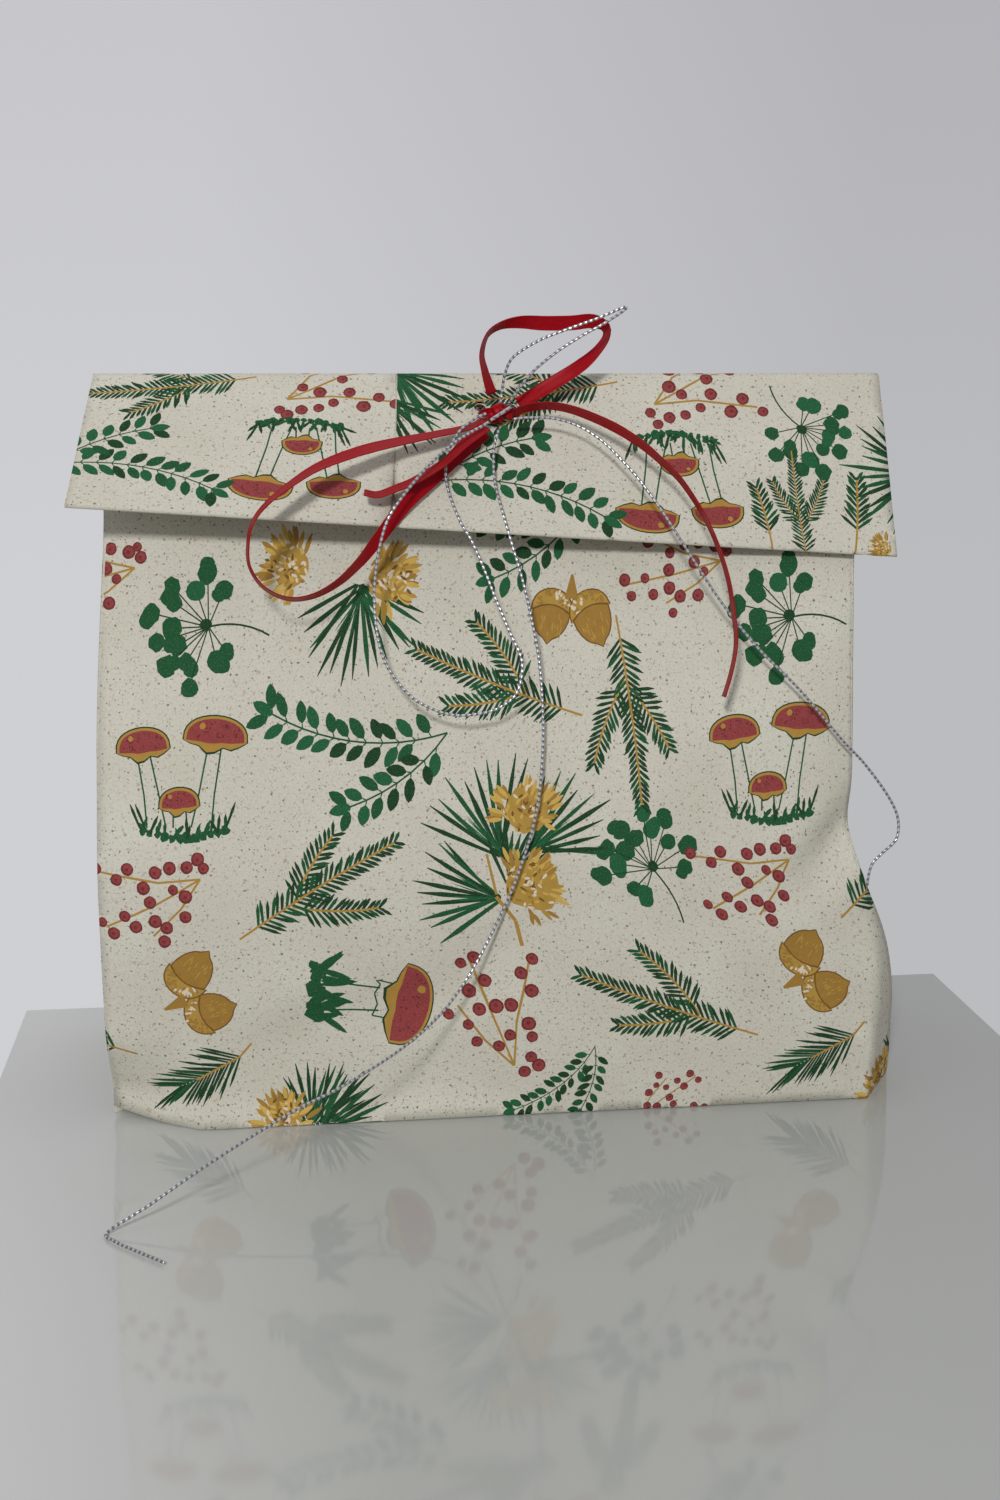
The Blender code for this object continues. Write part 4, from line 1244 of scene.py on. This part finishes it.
def build_tie():
    red, metal = satin("red_satin"), silver("silver_thread")
    for name, controls, far_end, facings in RIBBONS:
        points = route(controls, RIBBON_STEP)
        band = ribbon_mesh(name + "_band", points, facings, red)
        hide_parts(name)
        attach(band, "tie")
    for name, controls, far_end in CORDS:
        points = route(controls, CORD_STEP)
        thread = twisted_cord(name + "_thread", points, metal)
        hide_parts(name)
        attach(thread, "tie")
    for name, side in (("left", -1), ("right", 1)):
        hole = (HOLE_X[0] if side < 0 else HOLE_X[1]) * MM
        over = [(hole, -0.0086, 0.1555), (hole + side * -0.0002, -0.0098, 0.1558),
                (hole + side * -0.0010, -0.0110, 0.1561), (hole + side * -0.0020, -0.0112, 0.1562)]
        path = route(over, RIBBON_STEP / 2)
        bridge = ribbon_mesh("ribbon_%s_bridge" % name, path, (20, 20), red, BRIDGE_WIDTH)
        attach(bridge, "tie")
    knot = knot_mesh("ribbon_knot_wrap", red)
    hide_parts("ribbon_knot")
    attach(knot, "tie")
    plain_nodes = (
        (satin("red_satin_plain", "object"), ("ribbon_left_leg", "ribbon_right_leg", "ribbon_back_strand")),
        (silver("silver_thread_plain", "object"),
         ("silver_left_leg", "silver_right_leg", "silver_back_strand", "silver_knot_wrap")),
    )
    for look, names in plain_nodes:
        for name in names:
            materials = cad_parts[name].data.materials
            materials.clear()
            materials.append(look)


# ---------------------------------------------------------------- the set

TABLE = (-0.119, 0.129, -0.60, 0.047, 0.004)       # left, right, near, far and thickness
LIGHTS = (                                          # name, watts, size, place, aim
    ("key", 9.0, 0.14, (-0.30, -1.10, 0.66), (0.0, 0.0, 0.09)),
    ("top", 1.3, 0.7, (0.1, 0.2, 1.1), (0.0, 0.0, 0.1)),
)
WORLD_COLOUR = (0.37, 0.37, 0.385, 1.0)
BACKDROP_SIDE, BACKDROP_FOOT, BACKDROP_TOP, BACKDROP_Y = 4.0, -3.5, 4.0, 2.2
CAMERA_PLACE = (-0.0486, -0.4153, 0.1662)
CAMERA_DOWN, CAMERA_RIGHT = 12.01, 6.84             # degrees
SENSOR, FOCAL = 36.0, 43.2                          # mm


def build_backdrop():
    """A far pale sheet behind the table that glows, with painted light that is a little lighter towards its
    foot and its left.
    """
    n = Nodes("backdrop")
    across, _, up = n.split(n.add("ShaderNodeTexCoord").outputs["Generated"])
    # Painted light and shade: lighter towards the sheet's foot and darker towards its right
    painted_light_by_height = n.mix(n.ramp(up, (0.45, 0.0), (0.62, 1.0)), (0.615, 0.620, 0.640), (0.530, 0.525, 0.560))
    painted_shade_to_right = n.ramp(across, (0.48, 1.0), (0.60, 0.80))
    n.link(n.mix(1.0, painted_light_by_height, painted_shade_to_right, "MULTIPLY"), n.shader.inputs["Emission Color"])
    n.set(Emission_Strength=1.0, Roughness=1.0)
    n.shader.inputs["Base Color"].default_value = (0.0, 0.0, 0.0, 1.0)
    mesh = bpy.data.meshes.new("backdrop")
    corners = [(side, BACKDROP_Y, z) for side, z in (
        (-BACKDROP_SIDE, BACKDROP_FOOT), (BACKDROP_SIDE, BACKDROP_FOOT),
        (BACKDROP_SIDE, BACKDROP_TOP), (-BACKDROP_SIDE, BACKDROP_TOP))]
    # A loose point just behind gives the box that the Generated coordinates span some depth
    mesh.from_pydata(corners + [(0.0, BACKDROP_Y + 0.02, 0.0)], [], [(0, 1, 2, 3)])
    sheet = new_object("backdrop", mesh)
    mesh.materials.append(n.material)


def build_stage():
    """A pale glossy slab with painted light that makes it a little lighter towards its left, the backdrop,
    and soft light from the front.
    """
    n = Nodes("table")
    place = n.add("ShaderNodeTexCoord").outputs["Object"]
    across = n.split(n.add("ShaderNodeTexCoord").outputs["Generated"])[0]
    cloud = n.ramp(n.noise(place, 3.0, 2.0), (0.3, 0.0), (0.7, 1.0))
    slab = n.mix(cloud, (0.40, 0.41, 0.39), (0.43, 0.44, 0.42))
    # Painted light: the slab's colour turns lighter towards its left
    n.link(n.mix(n.ramp(across, (0.02, 1.0), (0.34, 0.0)), slab, (0.62, 0.63, 0.61)),
           n.shader.inputs["Base Color"])
    n.set(Roughness=0.06, IOR=1.75)
    left, right, near, far, thick = TABLE
    plan = ((left, near), (right, near), (right, far), (left, far))
    corners = [(x, y, z) for z in (-thick, 0.0) for x, y in plan]
    sides = [(0, 1, 5, 4), (1, 2, 6, 5), (2, 3, 7, 6), (3, 0, 4, 7), (4, 5, 6, 7), (3, 2, 1, 0)]
    mesh = bpy.data.meshes.new("table")
    mesh.from_pydata(corners, [], sides)
    table = new_object("table", mesh)
    mesh.materials.append(n.material)
    world = bpy.data.worlds.new("studio")
    bpy.context.scene.world = world
    world.use_nodes = True
    world.node_tree.nodes["Background"].inputs["Color"].default_value = WORLD_COLOUR
    world.node_tree.nodes["Background"].inputs["Strength"].default_value = 1.0
    build_backdrop()
    for name, energy, size, place, aim in LIGHTS:
        data = bpy.data.lights.new(name, "AREA")
        data.energy = energy
        data.size = size
        lamp = new_object(name, data)
        lamp.location = place
        lamp.rotation_euler = (Vector(aim) - Vector(place)).to_track_quat("-Z", "Y").to_euler()
    bpy.context.scene.view_settings.view_transform = "Standard"


def build_camera():
    data = bpy.data.cameras.new("camera")
    data.sensor_fit = "VERTICAL"
    data.sensor_height = SENSOR
    data.lens = FOCAL
    camera = new_object("camera", data)
    camera.location = CAMERA_PLACE
    camera.rotation_euler = (math.radians(90.0 - CAMERA_DOWN), 0.0, math.radians(-CAMERA_RIGHT))
    bpy.context.scene.camera = camera


build_camera()
build_stage()
build_tie()
build_paper()
